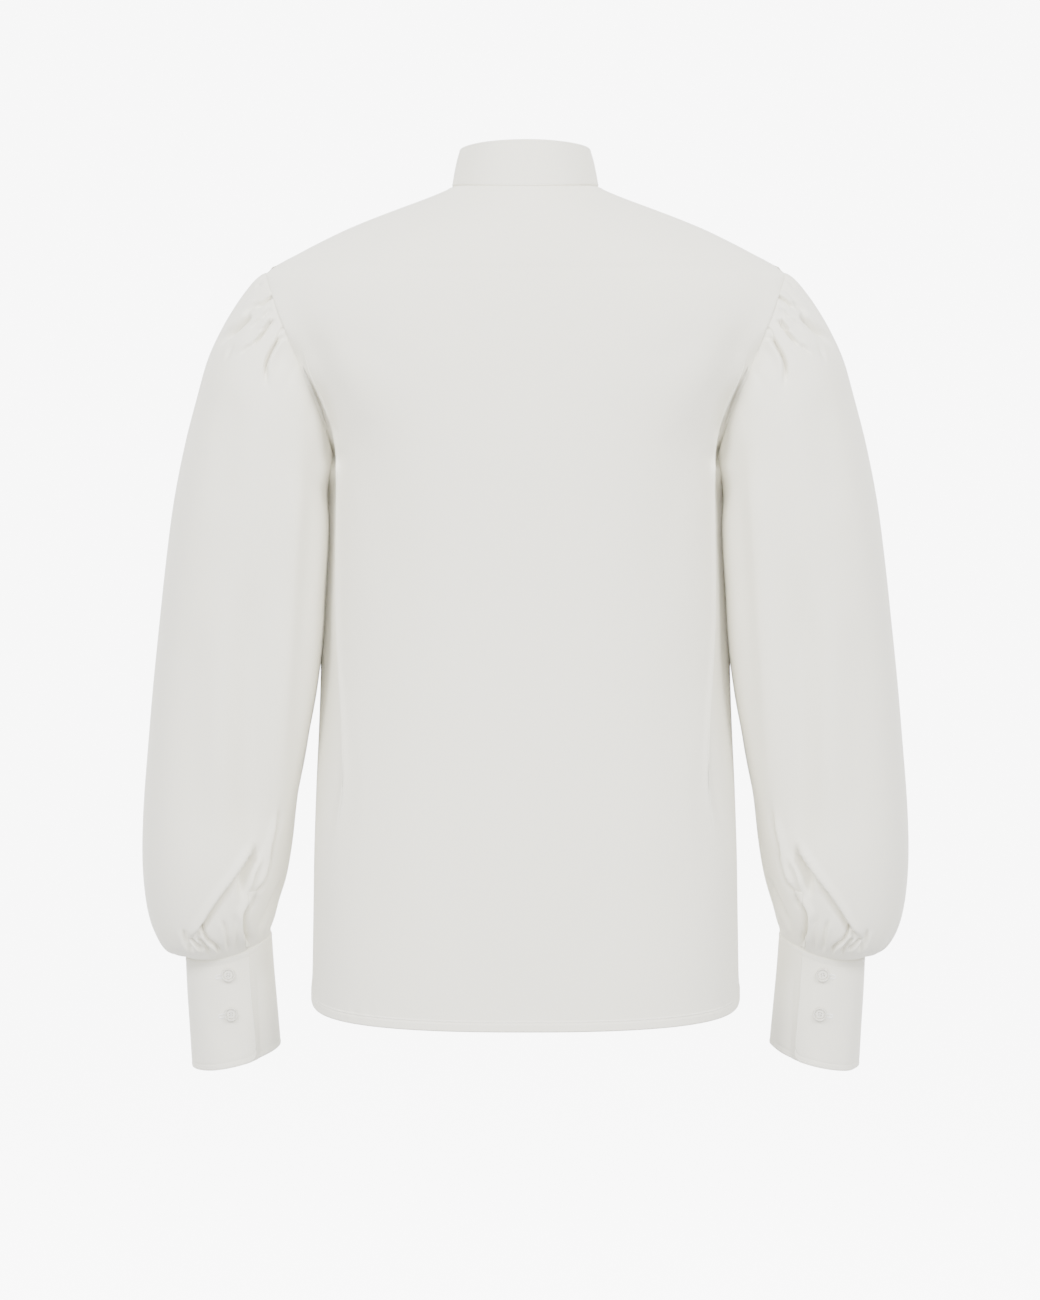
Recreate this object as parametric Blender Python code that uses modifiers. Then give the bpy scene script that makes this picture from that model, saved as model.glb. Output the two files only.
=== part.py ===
"""White high-necked blouse with puffed bishop sleeves, in the hollow form it has when it is worn.

The wearer faces -Y and stands along +Z, so the wearer's left is +X. The origin lies between the shoulders,
at the height where the collar meets the shoulder line. Every panel is a loft through the rows of a table,
given a wall by Solidify. Tables are in millimetres, and everything else is in metres.
"""

import math
from collections import namedtuple

import bpy
from mathutils import Vector

MM = 0.001
CLOTH = 1.2 * MM  # wall of a single layer
BAND = 2.0 * MM  # wall of the collar and the cuffs, which are interfaced
SEAM_GAP = 0.4 * MM  # between two pieces at a seam
SEAM_EASE = 0.3 * MM  # how far each edge of a shoulder or side seam is drawn back from its line
SEAM_LEAN = 1.15  # and how much further for each part of the wall that leans over the seam

# Body. Each level runs from the centre line to an edge: shoulder seam, armhole or side seam.
# edge_z, back_z and front_z are its heights at the edge and at the two centre lines. half_width is the
# reach of its whole contour, and seam_x is where the piece ends on it. bend over 1 keeps the level flat at
# the edge, and bend under 1 turns it up there. ridge is the share of the way round the back at which the
# loose cloth folds forward beside the sleeve, and fold is the depth of the valley beyond that.
Level = namedtuple(
    "Level", "edge_z back_z front_z half_width seam_x square side_y back_y front_y bend ridge fold"
)
LEVELS = [
    Level(-1.5, -7.5, -66, 58, 58, 2.00, 12, 71, -50, 1.7, 0.75, 0),  # neck seam
    Level(-9.5, -17, -75, 77, 77, 2.00, 12, 78, -57, 1.7, 0.75, 0),
    Level(-18.5, -27, -86, 101, 101, 2.05, 12, 85, -65, 1.7, 0.75, 0),
    Level(-28.5, -38, -97, 127, 127, 2.10, 12, 91, -74, 1.7, 0.75, 0),
    Level(-40, -49, -109, 154, 154, 2.15, 12, 97, -83, 1.7, 0.76, 0),
    Level(-53, -60, -121, 180, 180, 2.20, 12, 102, -92, 1.7, 0.77, 0),
    Level(-67, -72, -133, 206, 206, 2.25, 12, 106, -99, 1.7, 0.78, 0),  # shoulder point
    Level(-76, -83, -144, 212, 204, 2.30, 11, 109, -104, 1.6, 0.80, 0),
    Level(-91, -97, -155, 213, 199.5, 2.35, 10, 111.5, -108, 1.5, 0.83, 0),
    Level(-110, -114, -167, 209, 193, 2.40, 9, 114, -112, 1.4, 0.87, 0),
    Level(-132, -134, -179, 201, 183.5, 2.45, 7, 116, -115, 1.3, 0.91, 0),
    Level(-155, -155, -190, 189, 174, 2.50, 5, 117, -117, 1.2, 0.94, 2),
    Level(-178, -176, -200, 174, 164, 2.50, 3, 117.5, -118, 1.1, 0.93, 5),
    Level(-198, -195, -209, 161.5, 158, 2.50, 1, 117.5, -119, 1, 0.86, 7),
    Level(-212, -214, -222, 155, 155, 2.50, 0, 117.5, -119.5, 1, 0.80, 8),  # underarm point
    Level(-245, -245, -249, 160, 160, 2.50, -20, 116.5, -119, 1, 0.735, 8),
    Level(-290, -290, -290, 164, 164, 2.50, -34, 114, -117, 1, 0.70, 8),
    Level(-340, -340, -340, 165, 165, 2.50, -38, 113, -116, 1, 0.69, 7.5),
    Level(-388, -388, -388, 165.5, 165.5, 2.50, -36, 113, -116, 1, 0.665, 6.5),
    Level(-432, -432, -432, 166.5, 166.5, 2.50, -28, 114, -116.5, 1, 0.64, 5),
    Level(-477, -477, -477, 168, 168, 2.50, -18, 115.5, -117, 1, 0.64, 2),
    Level(-525, -525, -525, 169, 169, 2.50, -10, 117.5, -118.5, 1, 0.66, 0),
    Level(-573, -575, -575, 169.5, 169.5, 2.50, -5, 119.5, -120.5, 0.7, 0.68, 0),
    Level(-610, -622, -622, 170, 170, 2.50, -3, 121, -122, 0.5, 0.70, 0),
    Level(-635, -664, -664, 170.5, 170.5, 2.50, -2, 122, -123, 0.42, 0.70, 0),  # hem
]
SHOULDER_ROW = 6  # the shoulder point, where the armhole starts
UNDERARM_ROW = 14  # the underarm point, where the armhole ends and the side seam starts
BODY_COLUMNS = 10  # from a centre line to an edge
RIDGE_COLUMN = 7  # the back's column that runs down the ridge
RIDGE_OUT = 1.5 * MM

# Front closing
PLACKET_HALF = 12.5 * MM
UNDERLAP = 1.7 * MM  # the left front lies this far behind the right one
PLACKET_CLOTH = 1.0 * MM
FRONT_BUTTONS = 7
FIRST_BUTTON_Z, BUTTON_STEP = -0.098, 0.0825

# Sleeve, on the wearer's left. Each section is a ring through an outer and an inner point of the outline.
# cap and cuff are the heights of the gathers there, and seam is how much of the armhole's own shape it keeps.
# back_drop is how much lower the ring lies at the back, where the arm leans forward.
Section = namedtuple("Section", "outer_x outer_z inner_x inner_z centre_y half_depth back_drop cap cuff seam")
SLEEVE = [
    Section(206, -67, 155, -212, 6, 65, 0, 0, 0, 1.00),  # armhole seam
    Section(210.5, -67, 157.5, -213.5, 6, 67, 0, 0.8, 0, 0.92),
    Section(218, -76, 160, -216.5, 6.5, 69.5, 0, 2.4, 0, 0.78),
    Section(229.5, -92.5, 161.5, -221, 7, 71, 0, 2.8, 0, 0.60),
    Section(241.5, -113.5, 161.5, -227, 7.5, 71, 0, 2.2, 0, 0.42),
    Section(253, -138, 160.5, -236, 7.5, 70, 0, 1.3, 0, 0.26),
    Section(263, -168, 159.5, -249, 7, 68, 0, 0.6, 0, 0.12),
    Section(273, -206, 158.5, -268, 6, 66, 0, 0, 0, 0.03),
    Section(281, -252, 158.5, -293, 4, 64, 0, 0, 0, 0),
    Section(287.5, -300, 159.8, -325, 1, 62, 1, 0, 0, 0),
    Section(293, -348, 161.8, -362, -3, 61, 2, 0, 0, 0),
    Section(298.5, -398, 164.8, -405, -8, 60.5, 4, 0, 0, 0),
    Section(303, -446, 170.5, -446, -13.5, 60.5, 6, 0, 0.4, 0),
    Section(307, -492, 178.5, -486, -19, 60.5, 8, 0, 1.2, 0),
    Section(308.5, -532, 185.5, -522, -23, 60, 10, 0, 2.2, 0),
    Section(307, -562, 192, -549, -26.5, 58, 11, 0, 3.2, 0),
    Section(303, -585, 198, -570, -29, 54, 11, 0, 4.0, 0),
    Section(296, -602, 202, -583, -30.5, 48, 10, 0, 4.0, 0),
    Section(287, -613, 205, -592, -31.5, 38, 9, 0, 2.6, 0),
    Section(274, -619, 205.6, -597, -32, 27.6, 8, 0, 0.7, 0),  # cuff seam
]
ARMHOLE_SPLIT = 3  # sleeve points for each level of the body round the armhole
SLEEVE_COLUMNS = 2 * ARMHOLE_SPLIT * (UNDERARM_ROW - SHOULDER_ROW)
GATHER_POINTS = 3  # one gather is a valley and two crests
CAP_GATHER_REACH = math.radians(135)  # gathers run this far down each side of the sleeve head
GATHER_UNEVEN = 0.35

# Cuff: two rings, with the ends lapped at the back of the wrist
Ring = namedtuple("Ring", "outer_x outer_z inner_x inner_z centre_y half_depth back_drop")
CUFF = [
    Ring(273.5, -619.7, 206.0, -597.7, -32.1, 27, 8),
    Ring(272.5, -647, 204.2, -627, -36.7, 27.3, 8),
    Ring(271, -675, 201.8, -657, -41.5, 27.7, 8),
    Ring(269.5, -702, 199.2, -686, -46.2, 28, 8),
]
CUFF_LAP_AT = math.radians(120)  # where the outer end stops: 0 is outward and 90 is the back
CUFF_LAP = math.radians(48)
CUFF_COLUMNS = 36
CUFF_BUTTON_AT = math.radians(92)
CUFF_BUTTON_DOWN = (0.14, 0.51)  # shares of the cuff's height
LAP_EASE = math.radians(60)
LAP_OFFSET = 1.2 * MM
CORNER_RISE = 7 * MM  # the rounded lower corner of the outer end
SLIT_SECTION = 15  # the binding of the sleeve's slit starts here and runs to the cuff
SLIT_COLUMN = 16
SLIT_CLOTH = 1.0 * MM

# Collar: half width, back, side and front places of its rings, from the rim to the neck seam
CollarRing = namedtuple("CollarRing", "half_width back_y side_y front_y back_z side_z front_z")
COLLAR = [
    CollarRing(50.8, 66.0, 12, -43.5, 30.8, 29, -34),
    CollarRing(53.6, 67.6, 12, -45.4, 19, 19.5, -45),
    CollarRing(55.8, 69.1, 12, -47.4, 6.5, 9, -56),
    CollarRing(57.4, 70.4, 12, -49.4, -6.6, -0.6, -65.1),
]
NECK_BEND = 1.7  # the same as the body's neck seam
COLLAR_BUTTON_DOWN = 0.5

# Button: a turned disc with a raised rim round a shallow dish
BUTTON_RADIUS, BUTTON_HEIGHT, BUTTON_SEAT = 5.5 * MM, 2.2 * MM, 0.3 * MM
BUTTON_STEPS = 14

Finish = namedtuple("Finish", "name colour roughness")
SHIRTING = Finish("shirting", (0.86, 0.86, 0.84, 1), 0.85)
PEARL = Finish("pearl", (0.84, 0.83, 0.79, 1), 0.3)


def clear_scene():
    for thing in list(bpy.data.objects):
        bpy.data.objects.remove(thing, do_unlink=True)


def material(finish):
    """The Principled material of a finish, made once."""
    made = bpy.data.materials.get(finish.name) or bpy.data.materials.new(finish.name)
    made.use_nodes = True
    shader = made.node_tree.nodes["Principled BSDF"]
    shader.inputs["Base Color"].default_value = finish.colour
    shader.inputs["Roughness"].default_value = finish.roughness
    return made


def smoothstep(low, high, value):
    share = max(0.0, min(1.0, (value - low) / (high - low)))
    return share * share * (3 - 2 * share)


def cloth_piece(name, rows, collection, finish=SHIRTING, wall=CLOTH, grow=-1, closed=False, flip=False):
    """One cut piece: an open surface through rows of points, given a wall by Solidify. grow -1 is inward."""
    width = len(rows[0])
    points = [point for row in rows for point in row]
    quads = []
    for i in range(len(rows) - 1):
        for j in range(width if closed else width - 1):
            after = (j + 1) % width
            quad = (i * width + j, i * width + after, (i + 1) * width + after, (i + 1) * width + j)
            quads.append(quad[::-1] if flip else quad)
    mesh = bpy.data.meshes.new(name)
    mesh.from_pydata(points, [], quads)
    mesh.materials.append(material(finish))
    mesh.shade_smooth()
    piece = bpy.data.objects.new(name, mesh)
    collection.objects.link(piece)
    solid = piece.modifiers.new("wall", "SOLIDIFY")
    solid.thickness = wall
    solid.offset = grow
    return piece


# ---------------------------------------------------------------- body


def contour(level, angle, front):
    """The point of a level at an angle from its centre line, on the wearer's left side."""
    power = 2 / level.square
    across = level.half_width * math.copysign(abs(math.sin(angle)) ** power, angle)
    share = abs(math.cos(angle)) ** power
    centre_y, centre_z = (level.front_y, level.front_z) if front else (level.back_y, level.back_z)
    edge_share = abs(math.cos(edge_angle(level))) ** power
    drop = max(0.0, (share - edge_share) / (1 - edge_share)) ** level.bend
    height = level.edge_z + (centre_z - level.edge_z) * drop
    return Vector((across, level.side_y + (centre_y - level.side_y) * share, height)) * MM


def angle_at(level, across):
    """The angle at which a level reaches a distance from the centre line, in millimetres."""
    return math.asin(min(1.0, across / level.half_width) ** (level.square / 2))


def edge_angle(level):
    return angle_at(level, level.seam_x)


def back_point(level, column):
    """A point of the back, moved out on the ridge or in to the valley between the ridge and the side."""
    past = column - RIDGE_COLUMN
    if past <= 0:
        share = level.ridge * math.sin(math.pi / 2 * column / RIDGE_COLUMN) ** 0.9
    else:
        share = level.ridge + (1 - level.ridge) * past / (BODY_COLUMNS - RIDGE_COLUMN)
    point = contour(level, edge_angle(level) * share, False)
    outward = Vector((point.x, point.y, 0)).normalized()
    if past == 0:
        return point + outward * RIDGE_OUT * min(1.0, level.fold / 5)
    return point - outward * (level.fold * MM if 0 < past < BODY_COLUMNS - RIDGE_COLUMN else 0.0)


def on_armhole(index):
    return SHOULDER_ROW < index < UNDERARM_ROW


def eased_from_seam(rows, toward):
    """Draws the shoulder and side edges back from the seam, further where the wall leans over it."""
    eased = []
    for index, row in enumerate(rows):
        above, below = rows[max(index - 1, 0)], rows[min(index + 1, len(rows) - 1)]
        chord = row[-1] - row[-2]
        inward = chord.cross(below[-1] - above[-1]).normalized()
        if inward.dot(Vector((0, 0, row[-1].z - 0.1)) - row[-1]) < 0:
            inward.negate()
        back_off = SEAM_EASE + SEAM_LEAN * CLOTH * max(0.0, inward.y * toward)
        edge = row[-1] if on_armhole(index) else row[-1] - chord.normalized() * back_off
        eased.append(row[:-1] + [edge])
    return eased


def back_half():
    """The back's rows, from the centre to the edge."""
    rows = [[back_point(level, column) for column in range(BODY_COLUMNS + 1)] for level in LEVELS]
    return eased_from_seam(rows, -1)


def front_angles(level):
    """The closing edge, the centre line, the placket's other side, and so on to the edge."""
    side = angle_at(level, PLACKET_HALF / MM)
    spread = (edge_angle(level) - side) / (BODY_COLUMNS - 1)
    return [-side, 0.0] + [side + spread * step for step in range(BODY_COLUMNS)]


def closing_outward(index):
    """The outward direction on the centre front at a level."""
    above, below = LEVELS[max(index - 1, 0)], LEVELS[min(index + 1, len(LEVELS) - 1)]
    down = Vector((0, below.front_y - above.front_y, below.front_z - above.front_z)).normalized()
    return Vector((0, down.z, -down.y))


def front_half(behind):
    """A front's rows, from its closing edge to the armhole. behind is how far the closing edge lies back."""
    rows = []
    for index, level in enumerate(LEVELS):
        row = [contour(level, angle, True) for angle in front_angles(level)]
        for column in range(3):
            row[column] -= closing_outward(index) * behind
        rows.append(row)
    return eased_from_seam(rows, 1)


def mirrored(point):
    return Vector((-point.x, point.y, point.z))


def make_back(collection):
    rows = [[mirrored(point) for point in reversed(half[1:])] + half for half in back_half()]
    return cloth_piece("back", rows, collection)


def make_fronts(collection):
    right = [[mirrored(point) for point in row] for row in front_half(0)]
    cloth_piece("front_right", right, collection)
    cloth_piece("front_left", front_half(UNDERLAP), collection, flip=True)


def make_placket(collection):
    """The band on the right front's edge, made from the front's own points moved out."""
    rows = []
    for index, row in enumerate(front_half(0)):
        band = [mirrored(point) + closing_outward(index) * SEAM_GAP for point in row[:3]]
        band[0].x -= SEAM_GAP
        band[2].x += SEAM_GAP
        rows.append(band)
    for column in range(3):
        top, after, before, bottom = (rows[at][column] for at in (0, 1, -2, -1))
        rows[0][column] = top + (after - top).normalized() * PLACKET_CLOTH
        rows[-1][column] = bottom + (before - bottom).normalized() * SEAM_GAP
    return cloth_piece("front_placket", rows, collection, wall=PLACKET_CLOTH, grow=1)


def closing_line(height):
    """The point of the right front at the centre line at a height, and its outward direction."""
    for upper, lower in zip(LEVELS, LEVELS[1:]):
        if upper.front_z * MM >= height >= lower.front_z * MM:
            share = (height / MM - upper.front_z) / (lower.front_z - upper.front_z)
            top = Vector((0, upper.front_y, upper.front_z)) * MM
            bottom = Vector((0, lower.front_y, lower.front_z)) * MM
            down = (bottom - top).normalized()
            return top.lerp(bottom, share), Vector((0, down.z, -down.y))
    raise ValueError("the height is outside the front")


# ---------------------------------------------------------------- sleeves


def ring_point(ring, angle, grow=0.0):
    """A point of an oval ring: angle 0 is its outer point, 90 degrees is the back. grow widens the ring."""
    outer = Vector((ring.outer_x, ring.centre_y, ring.outer_z)) * MM
    inner = Vector((ring.inner_x, ring.centre_y, ring.inner_z)) * MM
    half = (outer - inner) / 2
    depth = ring.half_depth * MM
    across = half * (1 + grow / half.length) * math.cos(angle)
    deep = Vector((0, depth + grow, -ring.back_drop * MM)) * math.sin(angle)
    return (outer + inner) / 2 + across + deep


def armhole_points():
    """The body's armhole edge, from the shoulder point round the back and up the front."""
    levels = LEVELS[SHOULDER_ROW : UNDERARM_ROW + 1]
    back = [contour(level, edge_angle(level), False) for level in levels]
    front = [contour(level, edge_angle(level), True) for level in levels]
    corners = back + front[-2::-1]
    points = []
    for here, there in zip(corners, corners[1:]):
        points += [here.lerp(there, step / ARMHOLE_SPLIT) for step in range(ARMHOLE_SPLIT)]
    return points


def gather(section, column, angle):
    """The height of the gathers at a point: narrow valleys between broad crests, uneven in depth."""
    signed = math.remainder(angle, math.tau)
    wave = 1.0 if column % GATHER_POINTS else -1.0
    uneven = 1 + GATHER_UNEVEN * math.sin(2.3 * (column // GATHER_POINTS))
    cap = section.cap if abs(signed) < CAP_GATHER_REACH else 0.0
    return (cap + section.cuff) * wave * uneven * MM


def sleeve_rows():
    """The sleeve's rings on the wearer's left, from the armhole to the cuff."""
    armhole = armhole_points()
    angles = [math.tau * column / SLEEVE_COLUMNS for column in range(SLEEVE_COLUMNS)]
    rows = []
    for section in SLEEVE:
        row = []
        for column, angle in enumerate(angles):
            own_shape = armhole[column] - ring_point(SLEEVE[0], angle)
            height = gather(section, column, angle)
            row.append(ring_point(section, angle, height) + own_shape * section.seam)
        rows.append(row)
    rows[0] = [here + (there - here).normalized() * SEAM_GAP for here, there in zip(rows[0], rows[1])]
    return rows


def on_side(rows, side):
    return rows if side == "left" else [[mirrored(point) for point in row] for row in rows]


def make_sleeve(side, collection):
    rows = on_side(sleeve_rows(), side)
    return cloth_piece(f"sleeve_{side}", rows, collection, closed=True, flip=side == "left")


def make_slit_binding(side, collection):
    """The narrow binding of the sleeve's slit, made from the sleeve's own points moved out."""
    rows, sleeve = [], sleeve_rows()
    for index in range(SLIT_SECTION, len(sleeve)):
        one, other = sleeve[index][SLIT_COLUMN : SLIT_COLUMN + 2]
        above, below = sleeve[index - 1], sleeve[min(index + 1, len(sleeve) - 1)]
        outward = (below[SLIT_COLUMN] - above[SLIT_COLUMN]).cross(other - one).normalized()
        rows.append([one + outward * 1.5 * SEAM_GAP, other + outward * 1.5 * SEAM_GAP])
    rows[-1] = [here.lerp(above, 0.12) for here, above in zip(rows[-1], rows[-2])]
    rows = on_side(rows, side)
    return cloth_piece(f"slit_binding_{side}", rows, collection, wall=SLIT_CLOTH, grow=1, flip=side == "left")


# ---------------------------------------------------------------- bands with lapped ends


def lap_offset(angle, first, last, lap):
    """How far a band lies out or in at an angle: out at its first end, in at its last, level between."""
    near_first = 1 - smoothstep(lap, lap + LAP_EASE, abs(angle - first))
    near_last = 1 - smoothstep(lap, lap + LAP_EASE, abs(angle - last))
    return LAP_OFFSET * (near_first - near_last)


def make_cuff(side, collection):
    first, last = CUFF_LAP_AT, CUFF_LAP_AT - math.tau - CUFF_LAP
    rows = []
    for ring in CUFF:
        row = []
        for column in range(CUFF_COLUMNS + 1):
            angle = first + (last - first) * column / CUFF_COLUMNS
            row.append(ring_point(ring, angle, lap_offset(angle, first, last, CUFF_LAP)))
        rows.append(row)
    corner, above = rows[-1][0], rows[-2][0]
    rows[-1][0] = corner + (above - corner).normalized() * CORNER_RISE
    rows = on_side(rows, side)
    return cloth_piece(f"cuff_{side}", rows, collection, wall=BAND, grow=0, flip=side == "right")


def collar_point(ring, angle, grow=0.0):
    """A point of the collar: angle 0 is the centre front, and it runs round by the wearer's right."""
    share = math.cos(angle)
    centre_y, centre_z = (ring.front_y, ring.front_z) if share > 0 else (ring.back_y, ring.back_z)
    grown = grow / MM
    across = -(ring.half_width + grown) * math.sin(angle)
    reach = centre_y - ring.side_y
    along = ring.side_y + (reach - grown if share > 0 else reach + grown) * abs(share)
    height = ring.side_z + (centre_z - ring.side_z) * abs(share) ** NECK_BEND
    return Vector((across, along, height)) * MM


def neck_angles():
    """The angles of the body's neck seam, from the collar's outer end round to its inner end."""
    front = front_angles(LEVELS[0])
    half = [math.atan2(point.x, point.y - LEVELS[0].side_y * MM) for point in back_half()[0]]
    back = [math.pi - angle for angle in half[-2::-1]] + [math.pi + angle for angle in half[1:]]
    return front + back + [math.tau - angle for angle in front[-2::-1]]


def make_collar(collection):
    angles = neck_angles()
    lap = 2 * abs(angles[0])
    rows = []
    for ring in COLLAR:
        offsets = [lap_offset(angle, angles[0], angles[-1], lap) for angle in angles]
        rows.append([collar_point(ring, angle, offset) for angle, offset in zip(angles, offsets)])
    return cloth_piece("collar", rows, collection, wall=BAND, grow=0)


# ---------------------------------------------------------------- buttons


def button_mesh(collection):
    """The turned button, lying on its back at the origin."""
    radius, height = BUTTON_RADIUS, BUTTON_HEIGHT
    profile = [
        (0, 0.68 * height),
        (0.60 * radius, 0.68 * height),
        (0.78 * radius, height),
        (radius, 0.72 * height),
        (radius, 0.12 * height),
        (0, 0),
    ]
    mesh = bpy.data.meshes.new("button_profile")
    points = [(across, 0, up) for across, up in profile]
    mesh.from_pydata(points, [(step, step + 1) for step in range(len(points) - 1)], [])
    blank = bpy.data.objects.new("button_profile", mesh)
    collection.objects.link(blank)
    turn = blank.modifiers.new("turn", "SCREW")
    turn.steps = turn.render_steps = BUTTON_STEPS
    turn.use_merge_vertices = True
    turn.merge_threshold = 0.00001
    turned = bpy.data.meshes.new_from_object(blank.evaluated_get(bpy.context.evaluated_depsgraph_get()))
    bpy.data.objects.remove(blank, do_unlink=True)
    turned.name = "button"
    turned.materials.clear()
    turned.materials.append(material(PEARL))
    return turned


def place_button(name, mesh, seat, outward, collection):
    button = bpy.data.objects.new(name, mesh)
    button.location = seat + outward * BUTTON_SEAT
    button.rotation_euler = outward.to_track_quat("Z", "Y").to_euler()
    collection.objects.link(button)


def outward_of(here, beside, below, away_from):
    """The direction square to a band at a point, away from the band's middle."""
    square = (beside - here).cross(below - here).normalized()
    return square if square.dot(here - away_from) > 0 else -square


def make_buttons(collection):
    mesh = button_mesh(collection)
    for number in range(FRONT_BUTTONS):
        middle, outward = closing_line(FIRST_BUTTON_Z - BUTTON_STEP * number)
        seat = middle + outward * (SEAM_GAP + PLACKET_CLOTH)
        place_button(f"button_front_{number + 1}", mesh, seat, outward, collection)

    small = math.radians(4)
    top, low = COLLAR[0], COLLAR[-1]
    front = collar_point(top, 0, LAP_OFFSET).lerp(collar_point(low, 0, LAP_OFFSET), COLLAR_BUTTON_DOWN)
    beside = front + collar_point(top, small, LAP_OFFSET) - collar_point(top, 0, LAP_OFFSET)
    outward = outward_of(front, beside, collar_point(low, 0, LAP_OFFSET), Vector((0, 0, front.z)))
    place_button("button_collar", mesh, front + outward * BAND / 2, outward, collection)

    for side in ("left", "right"):
        for number, down in enumerate(CUFF_BUTTON_DOWN, 1):
            top, low = (
                [ring_point(CUFF[end], CUFF_BUTTON_AT + step * small, LAP_OFFSET) for step in (0, 1)]
                for end in (0, -1)
            )
            here, beside = top[0].lerp(low[0], down), top[1].lerp(low[1], down)
            outward = outward_of(here, beside, low[0], ring_point(CUFF[1], CUFF_BUTTON_AT + math.pi))
            if side == "right":
                here, outward = mirrored(here), mirrored(outward)
            name = f"button_cuff_{side}_{number}"
            place_button(name, mesh, here + outward * BAND / 2, outward, collection)


def main():
    clear_scene()
    blouse = bpy.data.collections.new("blouse")
    bpy.context.scene.collection.children.link(blouse)
    make_back(blouse)
    make_fronts(blouse)
    make_placket(blouse)
    make_collar(blouse)
    for side in ("left", "right"):
        make_sleeve(side, blouse)
        make_slit_binding(side, blouse)
        make_cuff(side, blouse)
    make_buttons(blouse)


main()
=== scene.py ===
import math
import random

import bpy
import numpy as np
from mathutils import Matrix, Vector


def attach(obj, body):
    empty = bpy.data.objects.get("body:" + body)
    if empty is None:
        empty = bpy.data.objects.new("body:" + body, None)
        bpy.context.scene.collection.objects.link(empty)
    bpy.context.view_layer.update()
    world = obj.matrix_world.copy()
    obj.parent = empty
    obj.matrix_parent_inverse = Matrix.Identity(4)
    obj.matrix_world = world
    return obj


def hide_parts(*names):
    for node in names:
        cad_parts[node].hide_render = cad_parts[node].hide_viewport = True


print("loading the frame")
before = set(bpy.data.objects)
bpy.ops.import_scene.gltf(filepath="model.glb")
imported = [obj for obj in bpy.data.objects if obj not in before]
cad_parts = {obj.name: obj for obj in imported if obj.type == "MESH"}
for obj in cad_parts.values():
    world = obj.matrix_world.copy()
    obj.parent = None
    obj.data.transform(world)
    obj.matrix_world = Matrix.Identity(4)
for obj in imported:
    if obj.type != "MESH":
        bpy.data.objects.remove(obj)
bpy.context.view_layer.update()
mm = 0.001


def smooth(low, high, value):  # 0 below low, 1 above high, eased between
    share = np.clip((value - low) / (high - low), 0, 1)
    return share * share * (3 - 2 * share)


def curveThrough(values, at, corners=()):  # a smooth curve through the values at 0, 1, 2 and so on
    values = np.asarray(values, float)
    steps = np.diff(values, axis=0)
    arriving = np.concatenate([steps[:1], (steps[:-1] + steps[1:]) / 2, steps[-1:]])
    leaving = arriving.copy()
    for corner in corners:
        arriving[corner], leaving[corner] = steps[corner - 1], steps[corner]
    at = np.asarray(at, float)
    start = np.clip(np.floor(at).astype(int), 0, len(steps) - 1)
    part = at - start
    if values.ndim > 1:
        part = part[..., None]
    low, high = values[start], values[start + 1]
    held = low * (1 + 2 * part) * (1 - part) ** 2 + high * part**2 * (3 - 2 * part)
    return held + leaving[start] * part * (1 - part) ** 2 - arriving[start + 1] * part**2 * (1 - part)


def readTable(cut, at):  # every named column of a cut's rows, eased between the rows
    corners = cut.get("corners", {})
    columns = zip(cut["columns"].split(), np.array(cut["rows"], float).T)
    return {name: curveThrough(column, at, corners.get(name, ())) for name, column in columns}


def readLevels(cut, at):  # the same, each as a column to be spread over angles
    return {name: column[:, None] for name, column in readTable(cut, at).items()}


def unit(vectors):
    return vectors / (np.linalg.norm(vectors, axis=-1, keepdims=True) + 1e-12)


def bell(distance, width):  # 1 at no distance, falling away on both sides
    return np.exp(-((distance / width) ** 2))


def turnFrom(angle, place):  # from half a turn before the place to half a turn past it
    return np.remainder(angle - place + math.pi, math.tau) - math.pi


def steppedRows(stretches):  # (first, last, count) stretches as one rising list without repeats
    runs = [np.linspace(first, last, count, endpoint=False) for first, last, count in stretches]
    return np.concatenate(runs + [[stretches[-1][1]]])


def gridNormals(points, core, closed=False):  # away from core, the points inside the garment
    across = np.roll(points, -1, 1) - np.roll(points, 1, 1) if closed else np.gradient(points, axis=1)
    normals = unit(np.cross(across, np.gradient(points, axis=0)))
    return normals if (normals * (points - core)).sum() > 0 else -normals


def lengthAlong(points, axis):  # running length down the columns (0) or across the rows (1)
    steps = np.linalg.norm(np.diff(points, axis=axis), axis=-1)
    return np.insert(np.cumsum(steps, axis=axis), 0, 0, axis=axis)


# Finishes
clothLook = {
    "colour": (0.82, 0.797, 0.70),
    "threadPitch": 0.45,  # one thread of the plain weave
    "weaveDepth": 0.06,
    "slub": 0.035,  # how far thick and thin threads change the colour
    "cloudiness": 0.02,
    "crumple": 0.35,
    "roughness": 0.86,
    "sheen": 0.2,
}
pearlLook = {"colour": (0.62, 0.60, 0.53), "roughness": 0.28, "clouding": 0.08, "coat": 0.35}
threadLook = {"colour": (0.80, 0.79, 0.76), "roughness": 0.6}


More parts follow.
